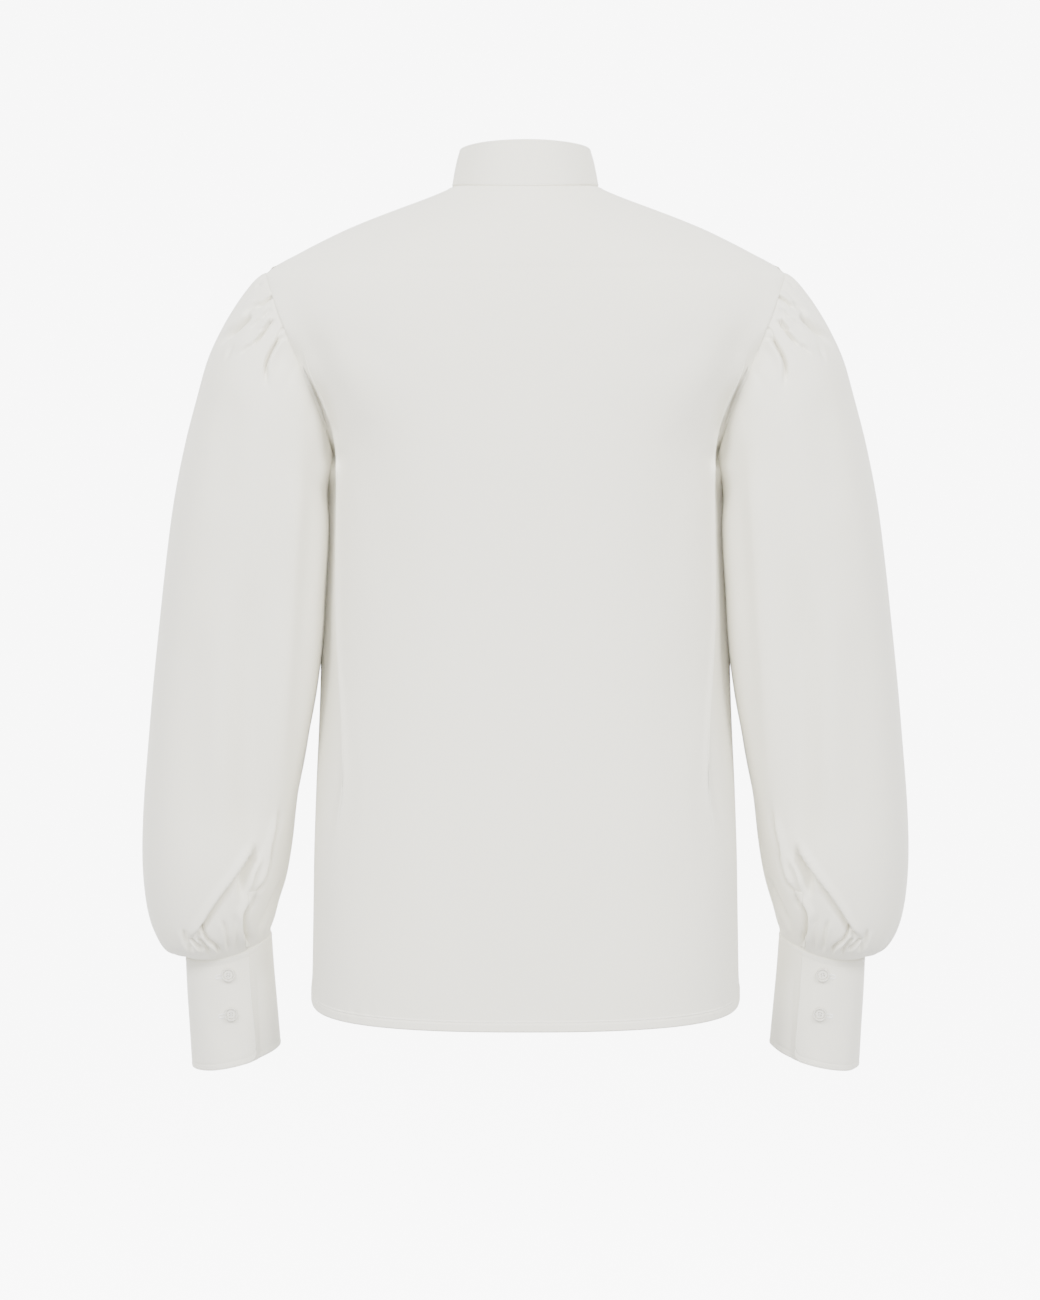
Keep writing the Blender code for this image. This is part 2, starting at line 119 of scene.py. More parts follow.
class NodeTree:  # a short way to add and join the nodes of a material
    def __init__(self, name):
        self.material = bpy.data.materials.new(name)
        self.material.use_nodes = True
        self.tree = self.material.node_tree
        self.shader = self.tree.nodes["Principled BSDF"]

    def add(self, kind, **values):
        node = self.tree.nodes.new(kind)
        for key, value in values.items():
            setattr(node, key, value)
        return node

    def join(self, source, target):
        self.tree.links.new(source, target)

    def sums(self, operation, first, second):
        node = self.add("ShaderNodeMath", operation=operation)
        for socket, value in zip(node.inputs, (first, second)):
            if isinstance(value, (int, float)):
                socket.default_value = value
            else:
                self.join(value, socket)
        return node.outputs[0]

    def noise(self, vector, scale, detail=2.0, stretch=(1, 1, 1)):
        mapping = self.add("ShaderNodeMapping")
        mapping.inputs["Scale"].default_value = stretch
        self.join(vector, mapping.inputs["Vector"])
        noise = self.add("ShaderNodeTexNoise")
        noise.inputs["Scale"].default_value = scale
        noise.inputs["Detail"].default_value = detail
        self.join(mapping.outputs[0], noise.inputs["Vector"])
        return noise.outputs["Fac"]

    def bands(self, vector, pitch, direction):  # threads that lie side by side, a pitch apart
        wave = self.add("ShaderNodeTexWave", wave_type="BANDS", bands_direction=direction)
        wave.inputs["Scale"].default_value = math.tau / (20 * pitch)
        wave.inputs["Distortion"].default_value = 0.6
        wave.inputs["Detail Scale"].default_value = 0.4
        self.join(vector, wave.inputs["Vector"])
        return wave.outputs["Fac"]

    def put(self, values):
        for name, value in values.items():
            self.shader.inputs[name].default_value = value

    def tint(self, colour, value):  # the colour, made lighter or darker by a value
        shade = self.add("ShaderNodeHueSaturation")
        shade.inputs["Color"].default_value = (*colour, 1)
        self.join(value, shade.inputs["Value"])
        self.join(shade.outputs[0], self.shader.inputs["Base Color"])

    def bump(self, height, distance, strength, under=None):
        node = self.add("ShaderNodeBump")
        node.inputs["Distance"].default_value = distance
        node.inputs["Strength"].default_value = strength
        self.join(height, node.inputs["Height"])
        if under is not None:
            self.join(under, node.inputs["Normal"])
        return node.outputs["Normal"]


def makeCloth(look):
    made = NodeTree("shirting")
    flat = made.add("ShaderNodeUVMap", uv_map="cloth").outputs["UV"]
    space = made.add("ShaderNodeTexCoord").outputs["Object"]
    pitch = look["threadPitch"] * mm
    warp = made.bands(flat, 2 * pitch, "X")
    weft = made.bands(flat, 2 * pitch, "Y")
    thickWeft = made.noise(flat, 1, 3, (35, 1400, 1))
    thickWarp = made.noise(flat, 1, 3, (1400, 35, 1))
    threads = made.sums("ADD", thickWeft, thickWarp)
    clouds = made.noise(space, 7, 3)
    tone = made.sums("MULTIPLY_ADD", threads, look["slub"])
    made.join(made.sums("MULTIPLY", clouds, look["cloudiness"]), tone.node.inputs[2])
    centred = made.sums("SUBTRACT", tone, look["slub"] + look["cloudiness"] / 2)
    made.tint(look["colour"], made.sums("ADD", centred, 1))
    weave = made.sums("ADD", made.sums("MULTIPLY", warp, weft), threads)
    crumple = made.bump(made.noise(space, 55, 4), 0.5 * mm, look["crumple"])
    fine = made.bump(made.noise(space, 260, 2), 0.12 * mm, look["crumple"], crumple)
    made.join(made.bump(weave, look["weaveDepth"] * mm, 0.6, fine), made.shader.inputs["Normal"])
    made.put({"Roughness": look["roughness"], "Sheen Weight": look["sheen"], "Sheen Roughness": 0.45,
              "Specular IOR Level": 0.25})
    return made.material


def makePearl(look):
    made = NodeTree("pearl")
    space = made.add("ShaderNodeTexCoord").outputs["Object"]
    layers = made.noise(space, 260, 3, (1, 1, 6))
    spread = made.sums("MULTIPLY", layers, 2 * look["clouding"])
    made.tint(look["colour"], made.sums("ADD", spread, 1 - look["clouding"]))
    rough = made.sums("MULTIPLY", layers, 0.2)
    made.join(made.sums("ADD", rough, look["roughness"] - 0.1), made.shader.inputs["Roughness"])
    made.put({"Coat Weight": look["coat"], "Coat Roughness": 0.12})
    return made.material


def makeThread(look):
    made = NodeTree("sewing_thread")
    space = made.add("ShaderNodeTexCoord").outputs["Object"]
    plies = made.noise(space, 1800, 2)
    made.tint(look["colour"], made.sums("ADD", made.sums("MULTIPLY", plies, 0.08), 0.96))
    made.join(made.bump(plies, 0.1 * mm, 0.5), made.shader.inputs["Normal"])
    made.put({"Roughness": look["roughness"], "Sheen Weight": 0.15})
    return made.material


print("mixing the finishes")
cloth = makeCloth(clothLook)
pearl = makePearl(pearlLook)
thread = makeThread(threadLook)


def addPiece(name, mesh, finish, nodes=()):
    for material in [finish] if isinstance(finish, bpy.types.Material) else finish:
        mesh.materials.append(material)
    piece = bpy.data.objects.new(name, mesh)
    bpy.context.scene.collection.objects.link(piece)
    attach(piece, "root")
    if nodes:
        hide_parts(*nodes)
    return piece


def sewShell(name, points, normals, thickness, nodes, closed=False, sink=None):
    # a shell of cloth on a grid of points, rows down and columns across, with rounded open edges
    rows, columns = points.shape[:2]
    down, across = lengthAlong(points, 0), lengthAlong(points, 1)
    toEdge = np.minimum(down, down[-1:] - down)
    if not closed:
        toEdge = np.minimum(toEdge, np.minimum(across, across[:, -1:] - across))
    rounding = np.clip(toEdge / (thickness / 2), 0, 1)
    half = normals * (thickness / 2 * np.sqrt(1 - (1 - rounding) ** 2))[..., None]
    middle = points - normals * (thickness / 2 if sink is None else sink)
    outerAt = np.arange(rows * columns).reshape(rows, columns)
    innerAt = np.where(rounding > 0, outerAt + rows * columns, outerAt)
    row, column = np.meshgrid(np.arange(rows - 1), np.arange(columns - (not closed)), indexing="ij")
    after = (column + 1) % columns
    corners = [(row, column), (row, after), (row + 1, after), (row + 1, column)]
    unwrapped = [(row, column), (row, column + 1), (row + 1, column + 1), (row + 1, column)]
    wide = np.concatenate([across, 2 * across[:, -1:] - across[:, -2:-1]], 1)
    long = np.concatenate([down, down[:, -1:]], 1)
    flat = np.stack([np.stack([wide[at], long[at]], -1) for at in unwrapped], -2).reshape(-1, 4, 2) * mm
    outer = np.stack([outerAt[at] for at in corners], -1).reshape(-1, 4)
    inner = np.stack([innerAt[at] for at in corners], -1).reshape(-1, 4)
    turned = np.cross(np.gradient(points, axis=1), np.gradient(points, axis=0))
    step = 1 if (turned * normals).sum() > 0 else -1
    faces = np.concatenate([outer[:, ::step], inner[:, ::-step]])
    layout = np.concatenate([flat[:, ::step], flat[:, ::-step]])
    used, faces = np.unique(faces, return_inverse=True)
    places = np.concatenate([(middle + half).reshape(-1, 3), (middle - half).reshape(-1, 3)])[used]
    mesh = bpy.data.meshes.new(name)
    mesh.from_pydata((places * mm).tolist(), [], faces.reshape(-1, 4).tolist())
    mesh.uv_layers.new(name="cloth").data.foreach_set("uv", layout.astype(np.float32).ravel())
    mesh.shade_smooth()
    return addPiece(name, mesh, cloth, nodes)


def mirrored(points):
    return points * np.array([-1, 1, 1])


# Creases. A route runs downwards, in millimetres from the centre line and below the shoulders, as seen
# from eye level behind the garment. A negative depth is a crest. outer and inner are the widths of its two
# slopes. lip is a bulge on the outer side, or on the inner side where it is negative, and roll is how far
# it leans over the trough. fade is the share of the route over which each end dies away. A straight
# crease is pushed in square to the view, so that two pieces that meet there stay together, and a peak
# comes to a ridge along its route.
view = {"distance": 3200, "height": -369.6, "aside": 4.4, "span": 1040}  # the camera, and what it takes in
creaseForm = {"rounded": 0.8, "lipAt": 1.9, "lipWidth": 1.5, "facing": (0.02, 0.4), "behind": (-25, 5)}


def creaseList(rows, straight=False):
    names = ("depth", "outer", "inner", "lip", "roll", "fade", "route")
    return [{**dict(zip(names, row)), "straight": straight, "peak": False} for row in rows]


def nearestOnRoute(across, height, route):
    best = np.full(across.shape, 1e9)
    signed, share, outward = np.zeros(across.shape), np.zeros(across.shape), np.zeros((*across.shape, 2))
    lengths = np.insert(np.cumsum(np.linalg.norm(np.diff(route, axis=0), axis=1)), 0, 0)
    for start, end, before in zip(route, route[1:], lengths):
        run = end - start
        size = max(np.hypot(*run), 1e-9)
        part = np.clip(((across - start[0]) * run[0] + (height - start[1]) * run[1]) / size**2, 0, 1)
        apart = np.hypot(across - start[0] - part * run[0], height - start[1] - part * run[1])
        side = (run[0] * (height - start[1]) - run[1] * (across - start[0])) / size
        nearer = apart < best
        best = np.where(nearer, apart, best)
        signed = np.where(nearer, apart * np.where(side < 0, -1, 1), signed)
        share = np.where(nearer, (before + part * size) / lengths[-1], share)
        outward = np.where(nearer[..., None], np.array([-run[1], run[0]]) / size, outward)
    return signed, share, outward


def pressCreases(points, normals, creases, side, shift=(0, 0), strength=1.0):
    nearer = view["distance"] / (view["distance"] - side * points[..., 1])
    across = np.abs(points[..., 0]) * nearer - shift[0]
    height = (points[..., 2] - view["height"]) * nearer + view["height"] - shift[1]
    lift, sunk, rolled = np.zeros(across.shape), np.zeros(across.shape), np.zeros((*across.shape, 2))
    for crease in creases:
        bends = np.array(crease["route"], float)
        route = curveThrough(bends, np.linspace(0, len(bends) - 1, 6 * len(bends)))
        reach = 4 * max(crease["outer"], crease["inner"])
        near = (across > route[:, 0].min() - reach) & (across < route[:, 0].max() + reach)
        near &= (height > route[:, 1].min() - reach) & (height < route[:, 1].max() + reach)
        if not near.any():
            continue
        signed, share, outward = nearestOnRoute(across[near], height[near], route)
        slope = np.where(signed > 0, crease["outer"], crease["inner"])
        tent = (np.sqrt(signed**2 + creaseForm["rounded"]) - math.sqrt(creaseForm["rounded"])) / slope
        pressed = -crease["depth"] * (np.exp(-tent) if crease["peak"] else bell(signed, slope))
        fade = smooth(0, crease["fade"][0], share) * smooth(0, crease["fade"][1], 1 - share)
        lip = crease["lip"]
        if lip:
            width = crease["outer"] if lip > 0 else crease["inner"]
            apart = signed * math.copysign(1, lip) - creaseForm["lipAt"] * width
            bulge = bell(apart, creaseForm["lipWidth"] * width)
            pressed += abs(lip) * bulge
            rolled[near] += (-math.copysign(crease["roll"], lip) * bulge * fade)[..., None] * outward
        into = sunk if crease["straight"] else lift
        into[near] += pressed * fade
    facing = (smooth(*creaseForm["facing"], side * normals[..., 1]) * strength)[..., None]
    sunk *= smooth(*creaseForm["behind"], side * points[..., 1]) * strength
    behind = np.array([0.0, side, 0.0]) * sunk[..., None]
    aside = np.stack([rolled[..., 0] * np.sign(points[..., 0]), 0 * lift, rolled[..., 1]], -1)
    return points + (normals * lift[..., None] + aside) * facing + behind


# Body: each row of the table is a level that runs from the centre line to the edge of the piece.
bodyCut = {
    "columns": "edgeZ backZ frontZ halfWidth seamX square sideY backY frontY bend ridge fold",
    "rows": [
        (-1.5, -7.5, -66, 58, 58, 2.00, 12, 71, -50, 1.7, 0.75, 0),
        (-9.5, -17, -75, 77, 77, 2.00, 12, 78, -57, 1.7, 0.75, 0),
        (-18.5, -27, -86, 101, 101, 2.05, 12, 85, -65, 1.7, 0.75, 0),
        (-28.5, -38, -97, 127, 127, 2.10, 12, 91, -74, 1.7, 0.75, 0),
        (-40.3, -49, -109, 154, 154, 2.15, 12, 97, -83, 1.7, 0.76, 0),
        (-54, -61, -121, 180, 180, 2.20, 12, 102, -92, 1.7, 0.77, 0),
        (-69.5, -74, -134, 206, 206, 2.25, 12, 106, -99, 1.7, 0.78, 0),
        (-78, -84, -144, 212, 204, 2.30, 11, 109, -104, 1.6, 0.80, 0),
        (-91, -97, -155, 213, 199.5, 2.35, 10, 111.5, -108, 1.5, 0.83, 0),
        (-110, -114, -167, 209, 193, 2.40, 9, 114, -112, 1.4, 0.87, 0),
        (-132, -134, -179, 201, 183.5, 2.45, 7, 116, -115, 1.3, 0.91, 0),
        (-155, -155, -190, 189, 174, 2.50, 5, 117, -117, 1.2, 0.94, 2),
        (-178, -176, -200, 174, 164, 2.50, 3, 117.5, -118, 1.1, 0.92, 4),
        (-198, -195, -209, 161.5, 158, 2.50, 1, 117.5, -119, 1, 0.85, 6),
        (-212, -214, -222, 155, 155, 2.50, 0, 117.5, -119.5, 1, 0.785, 7),
        (-222, -224, -230, 159.6, 159.6, 2.50, -13, 117.3, -119.4, 1, 0.725, 6),
        (-245, -245, -249, 162.2, 162.2, 2.50, -31, 116.5, -119, 1, 0.695, 5.5),
        (-290, -290, -290, 164, 164, 2.50, -34, 114, -117, 1, 0.69, 5.2),
        (-340, -340, -340, 165, 165, 2.50, -38, 113, -116, 1, 0.685, 5.5),
        (-388, -388, -388, 165.5, 165.5, 2.50, -36, 113, -116, 1, 0.655, 6.5),
        (-432, -432, -432, 166.5, 166.5, 2.50, -28, 114, -116.5, 1, 0.62, 6.5),
        (-477, -477, -477, 168, 168, 2.50, -18, 115.5, -117, 1, 0.61, 4),
        (-525, -525, -525, 169, 169, 2.50, -10, 117.5, -118.5, 1, 0.66, 0),
        (-573, -575, -575, 169.5, 169.5, 2.50, -5, 119.5, -120.5, 0.7, 0.68, 0),
        (-610, -622, -622, 170, 170, 2.50, -3, 121, -122, 0.5, 0.70, 0),
        (-635, -664, -664, 170.5, 170.5, 2.50, -2, 122, -123, 0.42, 0.70, 0),
    ],
    "corners": {"edgeZ": (6, 14), "seamX": (6, 14)},
    "shoulderRow": 6,
    "underarmRow": 14,
    "thickness": 0.6,
    "ridgeOut": 1.5,
    "hemWidth": 8.0,
    "hemRaise": 0.7,
    "seamGroove": 0.25,
    "seamWidths": (1.3, 1.2),  # of the grooves at the side seams and armholes, and at the neck
    "neckStrip": 4.0,  # the pressed seam allowance below the collar
    "neckRaise": 0.45,
    "neckTuck": [(0.972, 3.5), (0.984, 1.2)],  # what goes up between the collar's layers: share and rise
    "pucker": 0.3,
}


def edgeAngle(level):
    return np.arcsin(np.clip(level["seamX"] / level["halfWidth"], 0, 1) ** (level["square"] / 2))


def contour(level, angle, isFront):
    power = 2 / level["square"]
    across = level["halfWidth"] * np.sign(angle) * np.abs(np.sin(angle)) ** power
    share = np.abs(np.cos(angle)) ** power
    centreY, centreZ = (level[("front" if isFront else "back") + axis] for axis in "YZ")
    edgeShare = np.abs(np.cos(edgeAngle(level))) ** power
    drop = np.clip((share - edgeShare) / (1 - edgeShare), 0, None) ** level["bend"]
    height = level["edgeZ"] + (centreZ - level["edgeZ"]) * drop
    return np.stack([across, level["sideY"] + (centreY - level["sideY"]) * share, height], -1)


def easeDown(points, keep, rounds=60):  # softens the columns where keep is 0
    for _ in range(rounds):
        middle = (points[:-2] + points[2:]) / 2
        points[1:-1] += 0.5 * (1 - keep[1:-1])[..., None] * (middle - points[1:-1])
    return points


def bodyCore(points):
    return points * np.array([0, 0, 1])


def tuckedIntoCollar(points):
    middle = np.array([0, bodyCut["rows"][0][6], 0])
    rows = [middle + (points[:1] - middle) * [keep, keep, 1] + [0, 0, rise]
            for keep, rise in bodyCut["neckTuck"]]
    return np.concatenate([*rows, points])


def seamsAndHem(points, normals, fromEdge):
    # the groove along the seams, the pressed strip under the collar and the narrow turned hem
    groove, strip, hemWidth = (bodyCut[name] for name in ("seamGroove", "neckStrip", "hemWidth"))
    belowNeck, across = lengthAlong(points, 0), lengthAlong(points, 1)
    aboveHem = belowNeck[-1:] - belowNeck
    lift = -groove * bell(fromEdge, bodyCut["seamWidths"][0])
    lift -= groove * bell(belowNeck, bodyCut["seamWidths"][1])
    lift += bodyCut["neckRaise"] * (1 - smooth(strip - 0.5, strip + 0.5, belowNeck))
    pucker = np.sin(across / 1.9 + 1.3 * np.sin(across / 11)) * np.sin(across / 23 + 0.7)
    lift += bodyCut["hemRaise"] * (1 - smooth(hemWidth - 0.3, hemWidth + 0.7, aboveHem))
    lift += bodyCut["pucker"] * pucker * bell(aboveHem - hemWidth, 6.0)
    lift -= 0.5 * bell(aboveHem - hemWidth + 1, 0.7)  # the row of stitches pulls in
    return points + normals * lift[..., None]


bodyRows = steppedRows([(0, 0.2, 6), (0.2, 0.6, 5), (0.6, 6, 26), (6, 14, 56), (14, 16, 12), (16, 22, 34),
                        (22, 24.6, 16), (24.6, 24.76, 3), (24.76, 24.88, 8), (24.88, 25, 6)])
heldRows = 1 - smooth(3.5, 5.5, bodyRows)[:, None] * smooth(-19, -16, -bodyRows)[:, None]  # not to be eased

# the fullness over the armhole seam and the deep valley below it, shared with the sleeve
recessCreases = creaseList([
    (-8.5, 10, 11, 0, 0, (0.4, 0.4),
     [(208.5, -66), (205.5, -77), (202, -88), (197.4, -101), (192.6, -113), (186, -127), (180, -140)]),
    (3.6, 6.5, 5.0, 0, 0, (0.5, 0.3), [(168, -158), (162, -170), (157.5, -180), (155, -192), (154, -206)]),
    (-13, 8, 6, 0, 0, (0.35, 0.35), [(157, -186), (155, -200), (155, -212), (156, -226), (157, -246)]),
    (10, 6.0, 7.0, 0, 0, (0.85, 0.12),
     [(184, -134), (177, -147), (172, -161), (166.6, -175), (159.6, -196), (155, -214), (152, -226)]),
    (5.5, 5.0, 5.0, 0, 0, (0.3, 0.3),
     [(172, -150), (168.4, -161.6), (165.2, -169.6), (160.4, -177.6), (157.6, -185.6), (156.4, -194),
      (155.6, -210), (154, -226)]),
], straight=True)

recessCreases[0]["peak"] = True
frontCopies = {  # the hidden front repeats the back's creases, moved and softened
    "recess": {"shift": (1, -8), "strength": 0.6},
    "arm": {"shift": (-9, 14), "strength": 0.9},
    "head": {"shift": (2, -7), "strength": 0.9},
    "wrist": {"shift": (-4, 3), "strength": 0.6},
}
atFront = [recessCreases[number] for number in (0, 1, 3, 4)]  # the third shows from behind only

backCreases = creaseList([  # soft drape below the shoulder blades and towards the hem
    (2.6, 9, 13, 0, 0, (0.4, 0.3), [(182, -98), (169, -130), (160, -160), (150, -190)]),
    (1.4, 16, 22, 0, 0, (0.4, 0.4), [(150, -150), (118, -250), (104, -380)]),
    (1.6, 20, 26, 0, 0, (0.4, 0.3), [(112, -330), (120, -470), (128, -640)]),
    (1.2, 24, 20, 0, 0, (0.4, 0.3), [(60, -380), (66, -500), (60, -655)]),
    (1.0, 14, 12, 0, 0, (0.3, 0.4), [(146, -108), (120, -130), (88, -140)]),
    (0.8, 10, 12, 0, 0, (0.3, 0.4), [(176, -142), (150, -172), (128, -214)]),
    (1.0, 9, 7, 0, 0, (0.4, 0.5), [(140, -430), (141, -500), (147, -580)]),
])


def backPanel():
    level = readLevels(bodyCut, bodyRows)
    toRidge = np.sin(np.pi / 2 * np.linspace(0, 1, 54)) ** 0.9
    past = np.unique([*np.linspace(0, 0.3, 9), *np.linspace(0.3, 0.9, 12), *np.linspace(0.9, 1, 6)])[1:]
    share = np.concatenate([level["ridge"] * toRidge, level["ridge"] + (1 - level["ridge"]) * past], 1)
    points = contour(level, edgeAngle(level) * share, False)
    beyond = np.concatenate([np.zeros(len(toRidge)), past])
    valley = level["fold"] * smooth(0, 0.22, beyond) * (1 - smooth(0.5, 1, beyond))
    crisp = bodyCut["ridgeOut"] * smooth(11, 13, bodyRows) * (1 - smooth(20, 22, bodyRows))
    ridge = crisp[:, None] * bell(share - level["ridge"], 0.02)
    points = easeDown(points, np.maximum(smooth(0.8, 1, share), heldRows))
    points = points + unit(points * np.array([1, 1, 0])) * (ridge - valley)[..., None]
    fromEdge = lengthAlong(points, 1)[:, -1:] - lengthAlong(points, 1)
    points = np.concatenate([mirrored(points[:, :0:-1]), points], 1)
    fromEdge = np.concatenate([fromEdge[:, :0:-1], fromEdge], 1)
    normals = gridNormals(points, bodyCore(points))
    points = pressCreases(points, normals, backCreases + recessCreases, 1)
    normals = gridNormals(points, bodyCore(points))
    points = seamsAndHem(points, normals, fromEdge)
    points = tuckedIntoCollar(points)
    return points, gridNormals(points, bodyCore(points))


frontCreases = creaseList([
    (1.5, 18, 24, 0, 0, (0.4, 0.4), [(150, -160), (116, -262), (98, -380)]),
    (1.4, 22, 26, 0, 0, (0.4, 0.3), [(106, -350), (118, -480), (126, -640)]),
    (1.1, 20, 18, 0, 0, (0.4, 0.3), [(54, -330), (62, -470), (56, -650)]),
    (0.9, 10, 12, 0, 0, (0.2, 0.5), [(44, -66), (66, -110), (74, -170)]),
    (0.8, 9, 9, 0, 0, (0.2, 0.5), [(30, -78), (42, -130), (46, -190)]),
])

closingCut = {"half": 12.5, "underlap": 1.7, "thickness": 1.0, "lift": 0.4}


def closingAngle(level):
    return np.arcsin((closingCut["half"] / level["halfWidth"]) ** (level["square"] / 2))


def closingOutward(points):  # square to the centre front, at each row
    down = unit(np.gradient(points[:, :1], axis=0) * np.array([0, 1, 1]))
    return np.stack([np.zeros_like(down[..., 0]), down[..., 2], -down[..., 1]], -1)


def frontPanel(side):
    level = readLevels(bodyCut, bodyRows)
    start = closingAngle(level)
    share = 1 - (1 - np.linspace(0, 1, 66)) ** 1.15
    across = start + (edgeAngle(level) - start) * share[1:]
    angle = np.concatenate([start * np.linspace(-1, 1, 9), across], 1)
    points = contour(level, angle, True)
    held = np.maximum(smooth(0.8, 1, angle / edgeAngle(level)), heldRows)
    points = easeDown(points, np.maximum(held, 1 - smooth(1.0, 2.5, angle / start)))
    fromEdge = lengthAlong(points, 1)[:, -1:] - lengthAlong(points, 1)
    if side == "left":
        lapped = 1 - smooth(0.0, 0.11, (angle - start) / (edgeAngle(level) - start))
        points = points - closingOutward(points) * (closingCut["underlap"] * lapped)[..., None]
    normals = gridNormals(points, bodyCore(points))
    points = pressCreases(points, normals, frontCreases, -1, shift=(6, -4) if side == "left" else (0, 0))
    points = pressCreases(points, normals, atFront, -1, **frontCopies["recess"])
    normals = gridNormals(points, bodyCore(points))
    points = seamsAndHem(points, normals, fromEdge)
    under = backPoints[2:, -4] - backNormals[2:, -4] * 0.9
    own = points[:, -1] - normals[:, -1] * 0.8 + (points[:, -2] - points[:, -1]) * 0.2
    atArmhole = smooth(5.9, 6.1, bodyRows) * smooth(-14.15, -14.02, -bodyRows)
    points = np.concatenate([points, (under + (own - under) * atArmhole[:, None])[:, None]], 1)
    points = tuckedIntoCollar(points)
    if side == "right":
        points = mirrored(points)
    return points, gridNormals(points, bodyCore(points))


def placketBand():
    rows = steppedRows([(0, 0.1, 4), (0.1, 24.9, 146), (24.9, 25, 4)])
    level = readLevels(bodyCut, rows)
    edges = np.array([0, 0.02, 0.05, 0.1, 0.16, 0.18, 0.22, 0.5, 0.78, 0.82, 0.84, 0.9, 0.95, 0.98, 1])
    points = contour(level, closingAngle(level) * (2 * edges - 1), True)
    stitched = bell(np.abs(edges - 0.5) - 0.33, 0.03)
    lift = closingCut["lift"] + closingCut["thickness"] / 2 - 0.25 * stitched
    points = mirrored(points + closingOutward(points) * lift[None, :, None])
    return points, gridNormals(points, bodyCore(points))


print("cutting the body")
backPoints, backNormals = backPanel()
back = sewShell("back_panel", backPoints, backNormals, bodyCut["thickness"], ["back"])
fronts, frontSurfaces = {}, {}
for side in ("left", "right"):
    frontSurfaces[side] = frontPanel(side)
    fronts[side] = sewShell(f"front_panel_{side}", *frontSurfaces[side], bodyCut["thickness"],
                            [f"front_{side}"])
placketPoints, placketNormals = placketBand()
placket = sewShell("placket", placketPoints, placketNormals, closingCut["thickness"], ["front_placket"],
                   sink=0)


# Cuff: a band with rounded edges and lapped ends, as thick as its two layers of cloth
def lapOffset(angle, first, last, lap, ease=60, offset=1.2):  # out at the first end, in at the last
    nearFirst = 1 - smooth(lap, lap + math.radians(ease), np.abs(angle - first))
    nearLast = 1 - smooth(lap, lap + math.radians(ease), np.abs(angle - last))
    return offset * (nearFirst - nearLast)


cuffCut = {
    "columns": "outerX outerZ innerX innerZ centreY depth backDrop",
    "rows": [
        (273.5, -619.7, 206.0, -597.7, -32.1, 27, 8),
        (272.5, -647, 204.2, -627, -36.7, 27.3, 8),
        (271, -675, 201.8, -657, -41.5, 27.7, 8),
        (269.5, -705.5, 199.2, -689, -46.2, 28, 8),
    ],
    "lapAt": 120,
    "lap": 48,
    "thickness": 2.0,
    "cornerRadius": 6,
    "height": 86,
    "radius": 42,
    "seamRise": {"at": 28, "height": 4.2, "spread": 0.75},  # over the outside of the wrist
    "seeds": {"left": 3, "right": 8},
}


# Sleeve: each row of the table is a ring through an outer and an inner point of the sleeve's outline.
sleeveCut = {
    "columns": "outerX outerZ innerX innerZ centreY depth backDrop seam",
    "rows": [
        (206, -69.5, 155, -212, 6, 65, 0, 1.00),
        (210.5, -71.8, 153.5, -214.5, 6, 67, 0, 0.92),
        (218, -79, 153, -217.5, 6.5, 69.5, 0, 0.78),
        (229.5, -94, 153.6, -221.5, 7, 71, 0, 0.60),
        (241.5, -113.5, 155, -227, 7.5, 71, 0, 0.42),
        (253, -138, 157, -236, 7.5, 70, 0, 0.26),
        (261.8, -168, 158.2, -249, 7, 68, 0, 0.12),
        (271.8, -206, 157.2, -268, 6, 66, 0, 0.03),
        (281, -252, 158.2, -293, 4, 64, 0, 0),
        (287.5, -300, 160.6, -325, 1, 62, 1, 0),
        (293, -348, 163, -362, -3, 61, 2, 0),
        (298.5, -398, 168.6, -405, -8, 60.5, 4, 0),
        (303, -446, 176.6, -446, -13.5, 60.5, 6, 0),
        (307, -492, 183.6, -486, -19, 60.5, 8, 0),
        (308.5, -532, 187.5, -522, -23, 60, 10, 0),
        (307, -562, 192, -549, -26.5, 58, 11, 0),
        (303, -585, 198, -570, -29, 54, 11, 0),
        (296, -602, 202, -583, -30.5, 48, 10, 0),
        (287, -613, 205, -592, -31.5, 38, 9, 0),
        (274, -619, 205.6, -597, -32, 27.6, 8, 0),
    ],
    "thickness": 0.6,
    "capGathers": 17,
    "capReach": (22, 70),
    "fullAt": (152, 208),  # where the cloth is flattened by the body
    "fullness": 5.2,
    "fullSpread": 0.28,
    "fullRings": (4, 8, 12, 15),  # it grows between the first two and dies away between the others
    "seeds": {"left": 4, "right": 9},
    "cuffGathers": 27,
    "cuffReach": (18, 62),
    "tuck": {"keep": 0.975, "tip": (-4.3, 0, 2.55), "tipSpread": 0.45, "under": (1.0, 0.35)},
    "slit": {"angles": (120, 127.5), "rings": (15, 18.9), "lift": 0.1, "thickness": 0.8},
}

